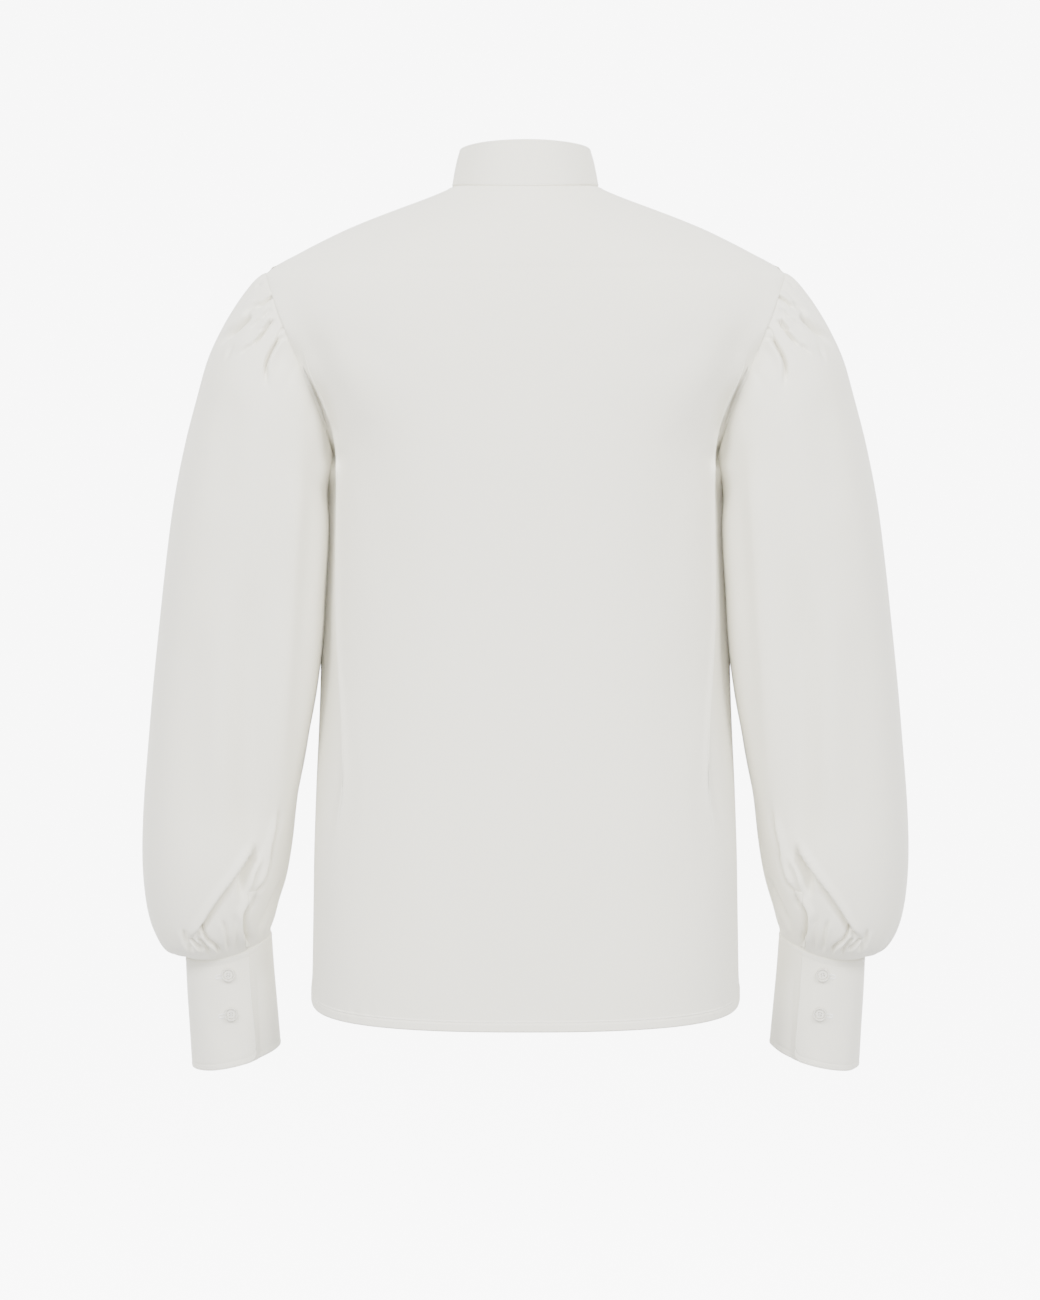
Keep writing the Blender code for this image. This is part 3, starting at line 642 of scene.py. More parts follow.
headCreases = creaseList([  # the gathers of the sleeve head that show from behind
    (4.4, 1.2, 1.5, 1.6, 0.8, (0.1, 0.4), [(201, -86), (209, -91), (217, -97)]),
    (11.0, 2.2, 1.7, 3.4, 2.6, (0.2, 0.7),
     [(219, -101), (224, -105), (230, -111), (239, -119), (246, -126)]),
    (5.0, 1.1, 1.4, 1.8, 1.2, (0.2, 0.4), [(204, -104), (209, -110), (213, -115)]),
    (5.4, 1.2, 1.6, 2.0, 1.4, (0.15, 0.6),
     [(200, -105), (205, -109), (210, -115), (214, -120), (224, -131)]),
    (8.0, 1.7, 2.4, -2.8, 1.8, (0.1, 0.6),
     [(195, -118), (199, -124), (204, -132), (207.5, -141), (208, -151), (207, -162)]),
    (2.0, 1.1, 1.3, -0.9, 0, (0.2, 0.3), [(191, -112), (194, -113), (197, -117), (198, -121)]),
    (0.8, 1.2, 1.3, 0.35, 0, (0.3, 0.4), [(210, -77), (213, -78), (216, -83)]),
    (2.4, 1.4, 1.7, 1.0, 0, (0.3, 0.5), [(219, -124), (224, -128), (229, -134)]),
    (2.0, 1.4, 1.7, 0.7, 0, (0.3, 0.5), [(212, -90), (219, -95), (227, -103)]),
    (1.8, 1.3, 1.5, 0.7, 0, (0.3, 0.5), [(202, -96), (208, -101), (213, -107)]),
    (1.6, 1.3, 1.6, 0.7, 0, (0.3, 0.5), [(210, -104), (216, -108), (222, -114)]),
    (1.4, 1.4, 1.8, 0.5, 0, (0.4, 0.5), [(232, -124), (237, -130), (240, -140)]),
])

armCreases = creaseList([  # the long soft folds between the head and the cuff
    (-5.0, 12, 9, 0, 0, (0.25, 0.3), [(180, -172), (187, -300), (196, -440), (201, -545)]),
    (5.6, 17, 11, 0, 0, (0.3, 0.25), [(218, -290), (221, -400), (222, -480), (216, -560)]),
    (2.0, 16, 16, 0, 0, (0.3, 0.3), [(262, -330), (264, -430), (258, -560)]),
    (-1.6, 16, 12, 0, 0, (0.3, 0.3), [(240, -300), (244, -400), (242, -520)]),
    (1.6, 12, 12, 0, 0, (0.3, 0.3), [(232, -150), (238, -200), (244, -270)]),
    (1.2, 8, 10, 0, 0, (0.3, 0.4), [(170, -240), (174, -300), (178, -370)]),
])

wristCreases = creaseList([  # the heavy folds that hang over the cuff by the slit
    (6.0, 1.7, 3.4, 3.4, 2.6, (0.12, 0.12),
     [(213, -526), (221, -535), (228, -545), (236, -556), (243, -565), (252, -578), (261, -592),
      (268, -602)]),
    (9.5, 3.2, 3.4, 0, 0, (0.25, 0.35),
     [(214, -530), (218.5, -537), (223, -546), (226, -555), (227.5, -568)]),
    (-4.0, 1.8, 3.0, 0, 0, (0.3, 0.3), [(208, -530), (214, -538), (218.5, -547), (222, -559), (225, -568)]),
    (8.5, 1.5, 2.2, 2.8, 2.2, (0.35, 0.2),
     [(196.4, -494), (198, -507), (201, -517), (204.4, -531), (205.2, -540), (209.6, -554), (216.4, -566)]),
    (10.0, 1.8, 3.0, 2.4, 1.6, (0.25, 0.25),
     [(213.5, -564), (219, -571), (224.5, -580), (225.5, -590), (224, -600), (220.5, -610)]),
    (7.0, 1.6, 2.2, -2.4, 1.6, (0.4, 0.3),
     [(190, -545), (197, -560), (202.8, -572.8), (208.5, -585), (213, -598)]),
    (4.8, 1.4, 2.0, 2.0, 1.1, (0.12, 0.12),
     [(262, -591), (258, -597), (254, -603), (248.4, -607), (244, -612)]),
    (4.2, 1.3, 1.7, 1.6, 1.0, (0.2, 0.2), [(270, -600), (265, -605), (258, -611)]),
    (4.0, 1.3, 1.7, 1.4, 1.0, (0.2, 0.2), [(263, -600), (258, -606), (252, -613)]),
    (2.6, 1.5, 1.8, 1.2, 0, (0.3, 0.2), [(243, -584), (239, -597), (238, -612)]),
    (2.2, 1.5, 1.8, -1.0, 0, (0.3, 0.2), [(233, -578), (231, -595), (231, -612)]),
    (3.4, 1.6, 1.8, 1.2, 0, (0.3, 0.2), [(274, -592), (272, -602), (266, -612)]),
])


def ringPoints(ring, angle, grow=0.0):  # angle 0 is the ring's outer point and 90 degrees is the back
    outer = np.stack(np.broadcast_arrays(ring["outerX"], ring["centreY"], ring["outerZ"]), -1)
    inner = np.stack(np.broadcast_arrays(ring["innerX"], ring["centreY"], ring["innerZ"]), -1)
    half = (outer - inner) / 2
    size = np.linalg.norm(half, axis=-1)
    across = half * ((1 + grow / size) * np.cos(angle))[..., None]
    deep, drop = (ring["depth"] + grow) * np.sin(angle), -ring["backDrop"] * np.sin(angle)
    return (outer + inner) / 2 + across + np.stack(np.broadcast_arrays(0.0, deep, drop), -1)


def armholeAt(angle, keep=1.0):  # the body's armhole, from the shoulder point round the back and up the front
    first, last = bodyCut["shoulderRow"], bodyCut["underarmRow"]
    turn = np.mod(angle, math.tau) / math.pi
    behind = readLevels(bodyCut, first + (last - first) * np.clip(turn, 0, 1))
    before = readLevels(bodyCut, last - (last - first) * np.clip(turn - 1, 0, 1))
    back = contour(behind, keep * edgeAngle(behind), False)[:, 0]
    front = contour(before, keep * edgeAngle(before), True)[:, 0]
    return np.where((turn <= 1)[:, None], back, front)


def armholeTuck(angle):  # the sleeve's seam allowance, under the body's edge
    tuck, edge = sleeveCut["tuck"], armholeAt(angle)
    inward = armholeAt(angle, tuck["keep"]) - edge
    atTip = bell(turnFrom(angle, 0), tuck["tipSpread"])[:, None]
    inward += (np.array(tuck["tip"]) - inward) * atTip  # up the shoulder's slope at the shoulder point
    square = unit(np.cross(armholeAt(angle + 0.02) - armholeAt(angle - 0.02), inward))
    square *= np.sign((square * (edge - [100, 5, -140])).sum(-1, keepdims=True))  # out of the body
    return edge + inward - square * tuck["under"][0], edge - square * tuck["under"][1]


def seamRise(angle):  # the cuff's seam runs level over the outside of the wrist
    rise = cuffCut["seamRise"]
    return rise["height"] * bell(turnFrom(angle, math.radians(rise["at"])), rise["spread"])


def cuffOffset(angle):  # how far the cuff's outer layer lies out at an angle of the sleeve
    degrees = np.mod(np.degrees(angle), 360)
    wrapped = np.radians(np.where(degrees <= cuffCut["lapAt"], degrees, degrees - 360))
    first, lap = math.radians(cuffCut["lapAt"]), math.radians(cuffCut["lap"])
    return lapOffset(wrapped, first, first - math.tau - lap, lap)


def gathers(angle, away, girth, count, reach, seed, tight=3.2, depths=(1.6, 3.4), span=math.pi):
    # narrow valleys between soft crests, uneven in place, depth, width and length
    draw = random.Random(seed)
    lift = np.zeros(np.broadcast_shapes(angle.shape, away.shape))
    for number in range(count):
        at = math.tau * (number + draw.uniform(-0.3, 0.3)) / count
        length, depth = draw.uniform(*reach), draw.uniform(*depths)
        width, lean = tight * draw.uniform(0.75, 1.3), draw.uniform(-0.0022, 0.0022)
        if abs(math.remainder(at, math.tau)) > span:
            continue
        gap = turnFrom(angle - at, lean * away)
        widened = width * (1 + away / 26)
        valley = -depth * bell(gap * girth / math.tau, widened)
        crest = 1.4 * depth * widened / girth
        lift += (valley + crest) * (0.2 + 0.8 * smooth(0, 10, away)) * (1 - smooth(0.15, 1, away / length))
    return lift


firstRing = readTable(sleeveCut, np.array([0.0]))


def sleeveSurface(ringAt, angle, seed):
    ring, angle = readLevels(sleeveCut, ringAt), angle[None, :]
    stations = np.linspace(0, len(sleeveCut["rows"]) - 1, 200)
    every = readTable(sleeveCut, stations)
    blend = (1 + np.cos(angle)) / 2  # 1 at the outer point and 0 at the inner one
    fromCap, length = 0, 0
    for end, weight in (("outer", blend), ("inner", 1 - blend)):
        run = lengthAlong(np.stack([every[end + "X"], every["centreY"], every[end + "Z"]], -1), 0)
        fromCap = fromCap + np.interp(ringAt, stations, run)[:, None] * weight
        length = length + run[-1] * weight
    fromCuff = np.maximum(1.12 * (length - fromCap), 0)
    girth = 2.2 * math.pi * ring["depth"]
    atBack = bell(turnFrom(angle, 0) - math.radians(95), 0.75)
    lift = gathers(angle, fromCap, girth, sleeveCut["capGathers"], sleeveCut["capReach"], seed,
                   depths=(1.0, 2.2), span=math.radians(128)) * (1 - 0.6 * atBack)
    grows, whole, fades, ends = sleeveCut["fullRings"]
    along = (smooth(grows, whole, ringAt) * (1 - smooth(fades, ends, ringAt)))[:, None]
    for place in sleeveCut["fullAt"]:
        full = bell(turnFrom(angle, math.radians(place)), sleeveCut["fullSpread"])
        lift = lift + sleeveCut["fullness"] * along * full
    lift += gathers(angle, fromCuff, girth, sleeveCut["cuffGathers"], sleeveCut["cuffReach"], seed + 1) * (
        1 - 0.75 * atBack)
    toCuff = smooth(18.2, 19, ringAt)[:, None]
    own = armholeAt(angle[0]) - ringPoints(firstRing, angle[0])
    points = ringPoints(ring, angle, lift + toCuff * cuffOffset(angle)) + own[None] * ring["seam"][..., None]
    points[..., 2] += smooth(17, 19, ringAt)[:, None] * seamRise(angle)
    if ringAt[0] == 0:  # a whole sleeve: its ends go under the body's edge and into the cuff
        tuck, edge = armholeTuck(angle[0])
        turned = np.broadcast_to(angle, (2, angle.shape[1]))
        inBand = ringPoints(readTable(cuffCut, np.array([[0.06], [0.2]])), turned, cuffOffset(angle) - 0.2)
        inBand[..., 2] += seamRise(angle)
        points = np.concatenate([tuck[None], edge[None], points[1:], inBand])
    return points


def sleeveForm(ringAt, angle, side):
    points = sleeveSurface(ringAt, angle, sleeveCut["seeds"][side])
    closed = len(angle) > 100
    across = ringPoints(readLevels(sleeveCut, ringAt), angle[None, :] + math.pi)
    core = points.mean(1, keepdims=True) if closed else across
    normals = gridNormals(points, core, closed)
    points = pressCreases(points, normals, armCreases, 1)
    points = pressCreases(points, normals, armCreases, -1, **frontCopies["arm"])
    normals = gridNormals(points, core, closed)
    points = pressCreases(points, normals, headCreases + wristCreases + recessCreases, 1)
    points = pressCreases(points, normals, headCreases, -1, **frontCopies["head"])
    points = pressCreases(points, normals, atFront, -1, **frontCopies["recess"])
    points = pressCreases(points, normals, wristCreases, -1, **frontCopies["wrist"])
    return points, gridNormals(points, core, closed)


sleeveRings = steppedRows([(0, 1, 5), (1, 4, 44), (4, 6, 18), (6, 13, 25), (13, 15.5, 22), (15.5, 18, 32),
                           (18, 19, 15)])
turns = np.linspace(0, 1, 300, endpoint=False)
sleeveAngles = math.tau * turns + 0.45 * (np.cos(math.tau * turns) - 1)

slit = sleeveCut["slit"]
slitTop, slitEnd = slit["rings"]
slitRings = steppedRows([(slitTop, slitTop + 0.1, 3), (slitTop + 0.1, slitEnd, 40)])
edges = np.array([0, 0.03, 0.08, 0.15, 0.3, 0.5, 0.7, 0.85, 0.92, 0.97, 1])
slitAngles = np.radians(slit["angles"][0] + (slit["angles"][1] - slit["angles"][0]) * edges)

print("gathering the sleeves")
sleeves, bindings = {}, {}
for side in ("left", "right"):
    points, normals = sleeveForm(sleeveRings, sleeveAngles, side)
    strip, stripNormals = sleeveForm(slitRings, slitAngles, side)
    strip = strip + stripNormals * (slit["lift"] + slit["thickness"] / 2)
    if side == "right":
        points, normals, strip, stripNormals = (
            mirrored(part) for part in (points, normals, strip, stripNormals))
    sleeves[side] = sewShell(f"sleeve_puffed_{side}", points, normals, sleeveCut["thickness"],
                             [f"sleeve_{side}"], closed=True)
    bindings[side] = sewShell(f"slit_strip_{side}", strip, stripNormals, slit["thickness"],
                              [f"slit_binding_{side}"], sink=0)


# The surfaces of the cuffs and the collar
def denseEdges(count, share):  # from 0 to 1 with extra places close to both ends
    near = share * np.array([0, 0.08, 0.25, 0.5, 1, 2, 3.2, 4.4, 5, 5.6])
    return np.concatenate([near, np.linspace(near[-1], 1 - near[-1], count)[1:-1], 1 - near[::-1]])


def cuffForm(side):
    first = math.radians(cuffCut["lapAt"])
    last = first - math.tau - math.radians(cuffCut["lap"])
    angle = first + (last - first) * denseEdges(150, 0.0045)
    down = denseEdges(46, 0.011)
    fromEnd = np.abs(angle - first) * cuffCut["radius"]
    inCorner = np.clip(1 - fromEnd / cuffCut["cornerRadius"], 0, 1)
    rise = cuffCut["cornerRadius"] * (1 - np.sqrt(1 - inCorner**2)) / cuffCut["height"]
    ringAt = 3 * down[:, None] * (1 - rise[None, :])
    ring = readTable(cuffCut, ringAt)
    draw = random.Random(cuffCut["seeds"][side])
    wave = sum(draw.uniform(0.15, 0.4) * np.sin(k * angle + draw.uniform(0, 6)) for k in (2, 3, 5, 8))
    stitched = bell(np.abs(down - 0.5) - 0.445, 0.006)[:, None]
    grow = lapOffset(angle, first, last, math.radians(cuffCut["lap"]))[None, :]
    grow = grow + wave[None, :] * down[:, None] ** 2
    points = ringPoints(ring, np.broadcast_to(angle[None, :], ringAt.shape), grow - 0.22 * stitched)
    points[..., 2] += (1 - down[:, None]) ** 2 * seamRise(angle)[None, :]
    core = ringPoints(ring, np.broadcast_to(angle[None, :], ringAt.shape) + math.pi, grow)
    normals = gridNormals(points, core)
    points = pressCreases(points, normals, cuffCreases, 1)
    normals = gridNormals(points, core)
    if side == "right":
        points, normals = mirrored(points), mirrored(normals)
    return points, normals


cuffCreases = creaseList([
    (1.6, 2.5, 16, 0, 0, (0.25, 0.1), [(216.5, -607), (214, -640), (211, -712)]),
    (0.6, 9, 9, 0, 0, (0.4, 0.4), [(262, -630), (252, -655), (246, -690)]),
    (0.5, 6, 7, 0, 0, (0.4, 0.4), [(228, -625), (222, -650), (214, -668)]),
    (0.4, 8, 6, 0, 0, (0.4, 0.4), [(250, -664), (236, -676), (226, -700)]),
])

collarCut = {
    "columns": "halfWidth backY sideY frontY backZ sideZ frontZ",
    "rows": [
        (50.8, 66.0, 12, -43.5, 30.8, 29, -34),
        (53.6, 67.6, 12, -45.4, 19, 19.5, -45),
        (55.8, 69.1, 12, -47.4, 6.5, 9, -56),
        (57.4, 70.4, 12, -49.4, -6.6, -0.6, -65.1),
    ],
    "bend": 1.7,
    "thickness": 2.0,
}


def collarForm():
    end = math.asin(closingCut["half"] / bodyCut["rows"][0][3])
    angle = -end + (math.tau + 2 * end) * denseEdges(190, 0.0028)
    ringAt = 3 * denseEdges(26, 0.024)
    ring = readLevels(collarCut, ringAt)
    grow = lapOffset(angle, -end, math.tau + end, 2 * end)[None, :]
    grow = grow + 0.25 * np.sin(3 * angle + 1) + 0.18 * np.sin(7 * angle) * (1 - ringAt[:, None] / 3)
    share = np.cos(angle)[None, :]
    isFront = share > 0
    centreY = np.where(isFront, ring["frontY"], ring["backY"])
    centreZ = np.where(isFront, ring["frontZ"], ring["backZ"])
    across = -(ring["halfWidth"] + grow) * np.sin(angle)[None, :]
    reach = centreY - ring["sideY"]
    along = ring["sideY"] + (reach + np.where(isFront, -grow, grow)) * np.abs(share)
    height = ring["sideZ"] + (centreZ - ring["sideZ"]) * np.abs(share) ** collarCut["bend"]
    points = np.stack([across, along, height], -1)
    core = points * np.array([0, 0, 1]) + np.array([0, 12, 0])
    return points, gridNormals(points, core)


print("making the collar and the cuffs")
cuffs, cuffPoints, cuffNormals = {}, {}, {}
for side in ("left", "right"):
    cuffPoints[side], cuffNormals[side] = cuffForm(side)
    cuffs[side] = sewShell(f"cuff_band_{side}", cuffPoints[side], cuffNormals[side], cuffCut["thickness"],
                           [f"cuff_{side}"], sink=0)
collarPoints, collarNormals = collarForm()
collar = sewShell("collar_stand", collarPoints, collarNormals, collarCut["thickness"], ["collar"], sink=0)


# Trims that follow a finished surface: places are millimetres along it and down it from its first corner
class Surface:
    def __init__(self, points, normals, raised):
        self.points, self.normals, self.raised = points, normals, raised
        self.down, self.across = lengthAlong(points, 0), lengthAlong(points, 1)

    def index(self, lengths, column, row):  # the grid place of a length down a column or along a row
        line = self.down[:, column] if row is None else self.across[row]
        return np.interp(lengths, line, np.arange(len(line)))

    def at(self, rowAt, columnAt):
        rowAt, columnAt = np.broadcast_arrays(np.asarray(rowAt, float), np.asarray(columnAt, float))
        row = np.clip(rowAt.astype(int), 0, self.points.shape[0] - 2)
        column = np.clip(columnAt.astype(int), 0, self.points.shape[1] - 2)
        v, u = (rowAt - row)[..., None], (columnAt - column)[..., None]
        found = []
        for grid in (self.points, self.normals):
            top = grid[row, column] * (1 - u) + grid[row, column + 1] * u
            low = grid[row + 1, column] * (1 - u) + grid[row + 1, column + 1] * u
            found.append(top * (1 - v) + low * v)
        return found[0] + found[1] * self.raised, found[1]

    def near(self, place, along, down):  # points at offsets in millimetres from a grid place
        row, column = (int(round(float(value))) for value in place)
        downAt = np.interp(place[0], np.arange(len(self.down)), self.down[:, column]) + down
        rowAt = self.index(downAt, column, None)
        start = np.interp(place[1], np.arange(self.across.shape[1]), self.across[row])
        return self.at(rowAt, self.index(start + along, None, row))

    def nearest(self, point):
        apart = np.linalg.norm(self.points - point, axis=-1)
        return np.unravel_index(np.argmin(apart), apart.shape)


def meshOf(name, parts):  # one mesh from several (points, faces) parts
    points, faces, start = [], [], 0
    for partPoints, partFaces in parts:
        points.append(partPoints)
        faces += [[corner + start for corner in face] for face in partFaces]
        start += len(partPoints)
    mesh = bpy.data.meshes.new(name)
    mesh.from_pydata((np.concatenate(points) * mm).tolist(), [], faces)
    mesh.shade_smooth()
    return mesh


def ringFaces(rings, sides, closed=False, start=0):  # the faces between each ring of points and the next
    faces = []
    for row in range(rings if closed else rings - 1):
        upper, lower = start + row * sides, start + (row + 1) % rings * sides
        for side in range(sides):
            after = (side + 1) % sides
            faces.append([upper + side, upper + after, lower + after, lower + side])
    return faces


def tube(path, normals, radii, sides=6):  # a capped tube along a path
    beside = unit(np.cross(unit(np.gradient(path, axis=0)), normals))
    turn = np.linspace(0, math.tau, sides, endpoint=False)
    ring = beside[:, None] * np.cos(turn)[None, :, None] + normals[:, None] * np.sin(turn)[None, :, None]
    points = (path[:, None] + ring * np.asarray(radii)[:, None, None]).reshape(-1, 3)
    caps = [list(range(sides))[::-1], [(len(path) - 1) * sides + side for side in range(sides)]]
    return points, ringFaces(len(path), sides) + caps


stitching = {"length": 2.3, "gap": 0.75, "radius": 0.17, "sink": 0.10, "inset": 2.0, "placketInset": 3.5}


def stitchRow(surface, rowAt, columnAt):  # a running stitch along grid places close enough to be a path
    path, normals = surface.at(rowAt, columnAt)
    lengths = np.insert(np.cumsum(np.linalg.norm(np.diff(path, axis=0), axis=1)), 0, 0)
    pitch = stitching["length"] + stitching["gap"]
    parts = []
    for number in range(int(lengths[-1] / pitch)):
        along = pitch * (number + 0.5) + stitching["length"] * np.array([-0.5, -0.36, 0, 0.36, 0.5])
        bend = np.stack([np.interp(along, lengths, path[:, axis]) for axis in range(3)], -1)
        facing = np.stack([np.interp(along, lengths, normals[:, axis]) for axis in range(3)], -1)
        lift = np.array([-1, 0.3, 1, 0.3, -1]) * stitching["sink"]
        radii = stitching["radius"] * np.array([0.5, 0.95, 1, 0.95, 0.5])
        parts.append(tube(bend + facing * lift[:, None], facing, radii))
    return parts


buttonholeCut = {"length": 14.0, "width": 1.35, "ridge": 0.62, "rise": 0.33, "stitches": 170, "sides": 10}


def buttonholeAt(surface, place, turned):  # an oval of close satin stitches
    count, width = buttonholeCut["stitches"], buttonholeCut["width"]
    turn = np.linspace(0, math.tau, count, endpoint=False)
    straight = (buttonholeCut["length"] - 2 * width) / 2
    along = straight * np.clip(2.2 * np.cos(turn), -1, 1) + width * np.cos(turn) * np.abs(np.cos(turn)) ** 0.5
    across = width * np.sign(np.sin(turn)) * np.minimum(1, 1.6 * np.abs(np.sin(turn))) ** 0.7
    if turned:
        along, across = across, along
    path, normals = surface.near(place, along, across)
    beside = np.cross(unit(np.roll(path, -1, 0) - np.roll(path, 1, 0)), normals)
    section = np.linspace(0, math.tau, buttonholeCut["sides"], endpoint=False)
    stitched = (1 + 0.14 * np.sin(np.arange(count) * math.pi))[:, None, None]
    ring = beside[:, None] * (buttonholeCut["ridge"] * np.cos(section))[None, :, None]
    ring = ring + normals[:, None] * (buttonholeCut["rise"] * np.sin(section))[None, :, None]
    points = (path[:, None] + ring * stitched).reshape(-1, 3)
    return points, ringFaces(count, buttonholeCut["sides"], closed=True)


buttonCut = {"radius": 5.6, "height": 2.2, "seat": 0.3, "holeAt": 1.3, "holeRadius": 0.6, "rimWidth": 1.5}


def buttonMesh(name, spin):
    radius, height, rim = buttonCut["radius"], buttonCut["height"], buttonCut["rimWidth"]
    dish = radius - rim
    profile = [(share * 0.78 * dish, 0.68 * height) for share in np.linspace(0, 1, 24)[1:]]
    profile += [(0.82 * dish, 0.64 * height), (0.88 * dish, 0.42 * height), (0.96 * dish, 0.38 * height)]
    profile += [(dish + 0.08 * rim, 0.5 * height), (dish + 0.16 * rim, 0.82 * height)]
    profile += [(dish + 0.3 * rim, 0.95 * height), (dish + 0.55 * rim, height)]
    profile += [(dish + 0.78 * rim, 0.95 * height), (radius - 0.1, 0.8 * height)]
    profile += [(radius, 0.6 * height), (radius, 0.3 * height), (radius - 0.15, 0.1 * height)]
    profile += [(radius - 0.6, 0), (0.5 * radius, 0)]
    turns = 72
    points = [(0, 0, 0.66 * height)]
    for distance, up in profile:
        for step in range(turns):
            angle = math.tau * step / turns
            points.append((distance * math.cos(angle), distance * math.sin(angle), up))
    points = np.array(points)
    holes = [math.pi / 4 + quarter * math.pi / 2 for quarter in range(4)]
    for hole in holes:
        centre = np.array([math.cos(hole), math.sin(hole)]) * buttonCut["holeAt"]
        apart = np.linalg.norm(points[:, :2] - centre, axis=1)
        top = points[:, 2] > 0.6 * height
        pit = 1.1 * (1 - smooth(buttonCut["holeRadius"] - 0.14, buttonCut["holeRadius"] + 0.1, apart))
        points[:, 2] -= np.where(top, pit, 0)
    faces = [[0, 1 + step, 1 + (step + 1) % turns] for step in range(turns)]
    faces += [[face[0], *face[:0:-1]] for face in ringFaces(len(profile), turns, start=1)]
    last = 1 + (len(profile) - 1) * turns
    faces.append([last + step for step in range(turns)][::-1])
    parts, split = [(points, faces)], len(faces)
    for side in (-1, 1):  # two bars of thread through the four holes
        for offset in (-0.17, 0.0, 0.17):
            at = side * buttonCut["holeAt"] * 0.7071
            run = np.array([-1, -0.92, -0.75, 0, 0.75, 0.92, 1]) * buttonCut["holeAt"] * 0.7071
            rise = 0.66 * height + np.array([-0.7, 0.02, 0.2, 0.27, 0.2, 0.02, -0.7])
            path = np.stack([run, np.full(7, at + offset), rise], -1)
            parts.append(tube(path, np.tile([0.0, 0, 1], (7, 1)), [0.16] * 7))
    turn = Matrix.Rotation(spin, 3, "Z")
    parts = [(part @ np.array(turn).T, partFaces) for part, partFaces in parts]
    mesh = meshOf(name, parts)
    for face in mesh.polygons[split:]:
        face.material_index = 1
    return mesh


def sewButton(name, node, seat, outward, spin):
    button = addPiece(name, buttonMesh(name, spin), [pearl, thread], [node])
    button.matrix_world = Matrix.Translation(Vector(seat + outward * buttonCut["seat"]) * mm) @ (
        Vector(outward).to_track_quat("Z", "Y").to_matrix().to_4x4())


print("sewing on the buttons")
placketSurface = Surface(placketPoints, placketNormals, closingCut["thickness"] / 2)
collarSurface = Surface(collarPoints, collarNormals, collarCut["thickness"] / 2)
cuffSurfaces = {side: Surface(cuffPoints[side], cuffNormals[side], cuffCut["thickness"] / 2)
                for side in cuffs}
holes = {"front": [], "collar": [], "left": [], "right": []}
frontButtons = {"count": 7, "first": -98, "step": 82.5}
cuffButtons = {"at": 92, "down": (0.14, 0.51), "outBy": 1.2, "holeBeside": 3.0}
placketMiddle = (placketPoints.shape[1] - 1) / 2
spins = random.Random(11)


def closingLine(height):  # the centre front at a height, and its outward direction
    rows = np.array(bodyCut["rows"], float)
    column = bodyCut["columns"].split().index
    heights, depths = rows[:, column("frontZ")], rows[:, column("frontY")]
    last = int(np.argmax(heights < height))
    share = (height - heights[last - 1]) / (heights[last] - heights[last - 1])
    top, low = (np.array([0, depths[row], heights[row]]) for row in (last - 1, last))
    down = (low - top) / np.linalg.norm(low - top)
    return top + (low - top) * share, np.array([0, down[2], -down[1]])


for number in range(frontButtons["count"]):
    middle, outward = closingLine(frontButtons["first"] - frontButtons["step"] * number)
    place = placketSurface.nearest(middle)
    seat, _ = placketSurface.at(place[0], placketMiddle)
    name = f"button_front_{number + 1}"
    sewButton(name + "_sewn", name, seat, outward, spins.uniform(-0.3, 0.3))
    holes["front"].append(buttonholeAt(placketSurface, (place[0], placketMiddle), True))

middleRing = collarPoints[len(collarPoints) // 2]
hidden = 100 * (middleRing[:, 1] > 0) + 50 * (np.arange(len(middleRing)) > len(middleRing) / 2)
front = int(np.argmin(np.abs(middleRing[:, 0]) + hidden))  # the centre front on the collar's outer end
middleRow = float(collarSurface.index(collarSurface.down[-1, front] / 2, front, None))
seat, outward = collarSurface.at(middleRow, front)
sewButton("button_collar_sewn", "button_collar", seat, outward, 0.2)
holes["collar"].append(buttonholeAt(collarSurface, (middleRow, front), False))

for side in ("left", "right"):
    surface, sign = cuffSurfaces[side], 1 if side == "left" else -1
    buttonsAt = math.radians(cuffButtons["at"])
    top, low = (ringPoints(readTable(cuffCut, ringAt), buttonsAt, cuffButtons["outBy"]) for ringAt in (0, 3))
    for number, down in enumerate(cuffButtons["down"], 1):
        place = surface.nearest((top + (low - top) * down) * [sign, 1, 1])
        seat, outward = surface.at(*place)
        name = f"button_cuff_{side}_{number}"
        sewButton(name + "_sewn", name, seat, unit(outward), spins.uniform(-0.3, 0.3))
        beside = surface.index(surface.across[place] + cuffButtons["holeBeside"], None, place[0])
        holes[side].append(buttonholeAt(surface, (place[0], beside), False))

print("stitching")


def edgeStitches(surface):  # a row of stitches along all four sides, a set distance in
    inset = stitching["inset"]
    rows, columns = surface.points.shape[:2]
    middle = (rows // 2, columns // 2)
    top = surface.index(inset, middle[1], None)
    low = surface.index(surface.down[-1, middle[1]] - inset, middle[1], None)
    first = surface.index(inset, None, middle[0])
    last = surface.index(surface.across[middle[0], -1] - inset, None, middle[0])
    parts = []
    for row in (top, low):
        along = np.linspace(first, last, 400)
        parts += stitchRow(surface, np.full(400, row), along)
    for column in (first, last):
        parts += stitchRow(surface, np.linspace(top, low, 60), np.full(60, column))
    return parts


def addThreads(name, parts):
    return addPiece(name, meshOf(name, parts), thread)


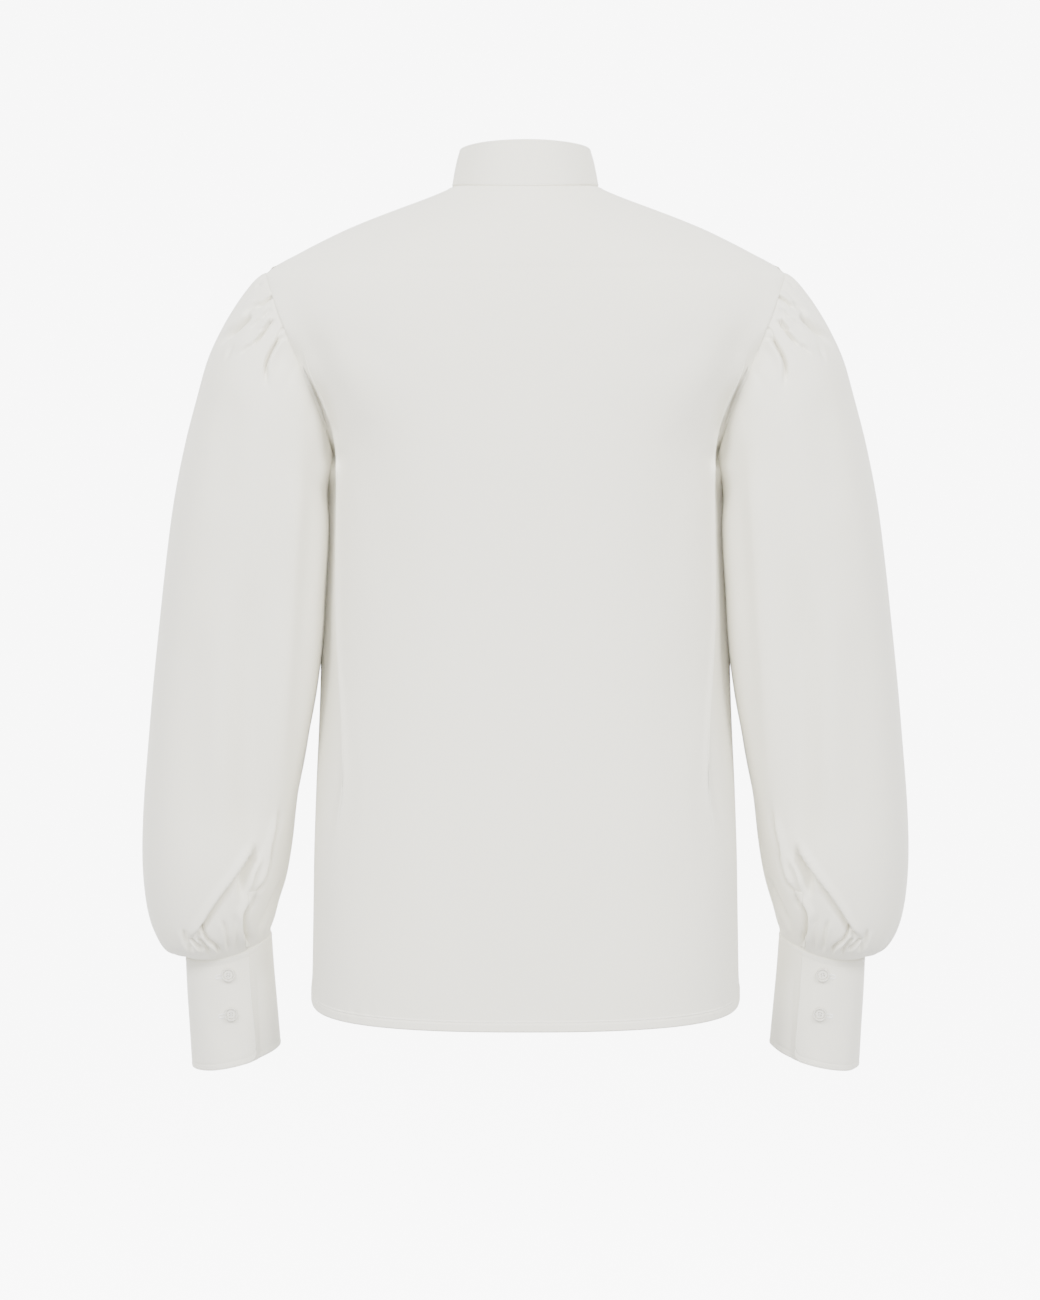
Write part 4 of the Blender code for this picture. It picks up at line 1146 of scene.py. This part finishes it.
addThreads("collar_stitches", edgeStitches(collarSurface) + holes["collar"])
for side in ("left", "right"):
    addThreads(f"cuff_stitches_{side}", edgeStitches(cuffSurfaces[side]) + holes[side])
placketRows = np.linspace(1, placketPoints.shape[0] - 2, 900)
placketParts = list(holes["front"])
for inset in (stitching["placketInset"], closingCut["half"] * 2 - stitching["placketInset"]):
    column = placketSurface.index(inset, None, placketPoints.shape[0] // 2)
    placketParts += stitchRow(placketSurface, placketRows, np.full(900, column))
addThreads("placket_stitches", placketParts)
for name, grids in {"back": (backPoints, backNormals), **frontSurfaces}.items():
    surface = Surface(*grids, 0.0)
    columns = np.linspace(1, surface.points.shape[1] - 3, 1100)
    heights = np.array([surface.index(surface.down[-1, int(column)] - bodyCut["hemWidth"], int(column), None)
                        for column in columns])
    addThreads(f"hem_stitches_{name}", stitchRow(surface, heights, columns))


# Stage, light and camera
studio = {
    "floorHeight": -1.4,
    "floorSize": 80,
    "floorGrey": 0.6,
    "backdrop": 8.5,  # what the camera sees behind the blouse
    "surround": 1.52,  # the even light that comes from everywhere
    "lamps": {
        "key_left": {"at": (1.8, 2.9, 1.9), "size": 1.0, "watts": 170},
        "key_right": {"at": (-1.8, 2.9, 1.9), "size": 1.0, "watts": 170},
        "key_middle": {"at": (0.0, 3.4, 1.1), "size": 1.3, "watts": 72},
        "front_left": {"at": (2.4, -3.0, 2.0), "size": 1.1, "watts": 150},
        "front_right": {"at": (-2.4, -3.0, 2.0), "size": 1.1, "watts": 150},
    },
}


def setStage():
    world = bpy.data.worlds.new("studio")
    world.use_nodes = True
    tree = world.node_tree
    background = tree.nodes["Background"]
    background.inputs["Color"].default_value = (1, 1, 1, 1)
    path = tree.nodes.new("ShaderNodeLightPath")
    level = tree.nodes.new("ShaderNodeMapRange")
    level.inputs["To Min"].default_value = studio["surround"]
    level.inputs["To Max"].default_value = studio["backdrop"]
    tree.links.new(path.outputs["Is Camera Ray"], level.inputs["Value"])
    tree.links.new(level.outputs["Result"], background.inputs["Strength"])
    bpy.context.scene.world = world
    bpy.ops.mesh.primitive_plane_add(size=studio["floorSize"], location=(0, 0, studio["floorHeight"]))
    floor = bpy.context.object
    floor.name = "floor"
    floor.visible_diffuse = False
    paint, grey = NodeTree("pale_floor"), studio["floorGrey"]
    paint.put({"Base Color": (grey, grey, grey, 1), "Roughness": 1.0, "Specular IOR Level": 0.0,
               "Emission Color": (1, 1, 1, 1),
               "Emission Strength": studio["backdrop"] - grey * studio["surround"]})
    floor.data.materials.append(paint.material)
    for name, values in studio["lamps"].items():
        lamp = bpy.data.lights.new(name, "AREA")
        lamp.energy = values["watts"]
        lamp.size = values["size"]
        light = bpy.data.objects.new(name, lamp)
        light.location = values["at"]
        light.rotation_euler = (Vector((0, 0, -0.35)) - light.location).to_track_quat("-Z", "Y").to_euler()
        bpy.context.scene.collection.objects.link(light)
    lens = bpy.data.cameras.new("camera")
    lens.sensor_width = 36
    lens.lens = lens.sensor_width * view["distance"] / view["span"]
    camera = bpy.data.objects.new("camera", lens)
    camera.location = (view["aside"] * mm, view["distance"] * mm, view["height"] * mm)
    camera.rotation_euler = (math.pi / 2, 0, math.pi)
    bpy.context.scene.collection.objects.link(camera)
    bpy.context.scene.camera = camera


print("setting the stage")
setStage()
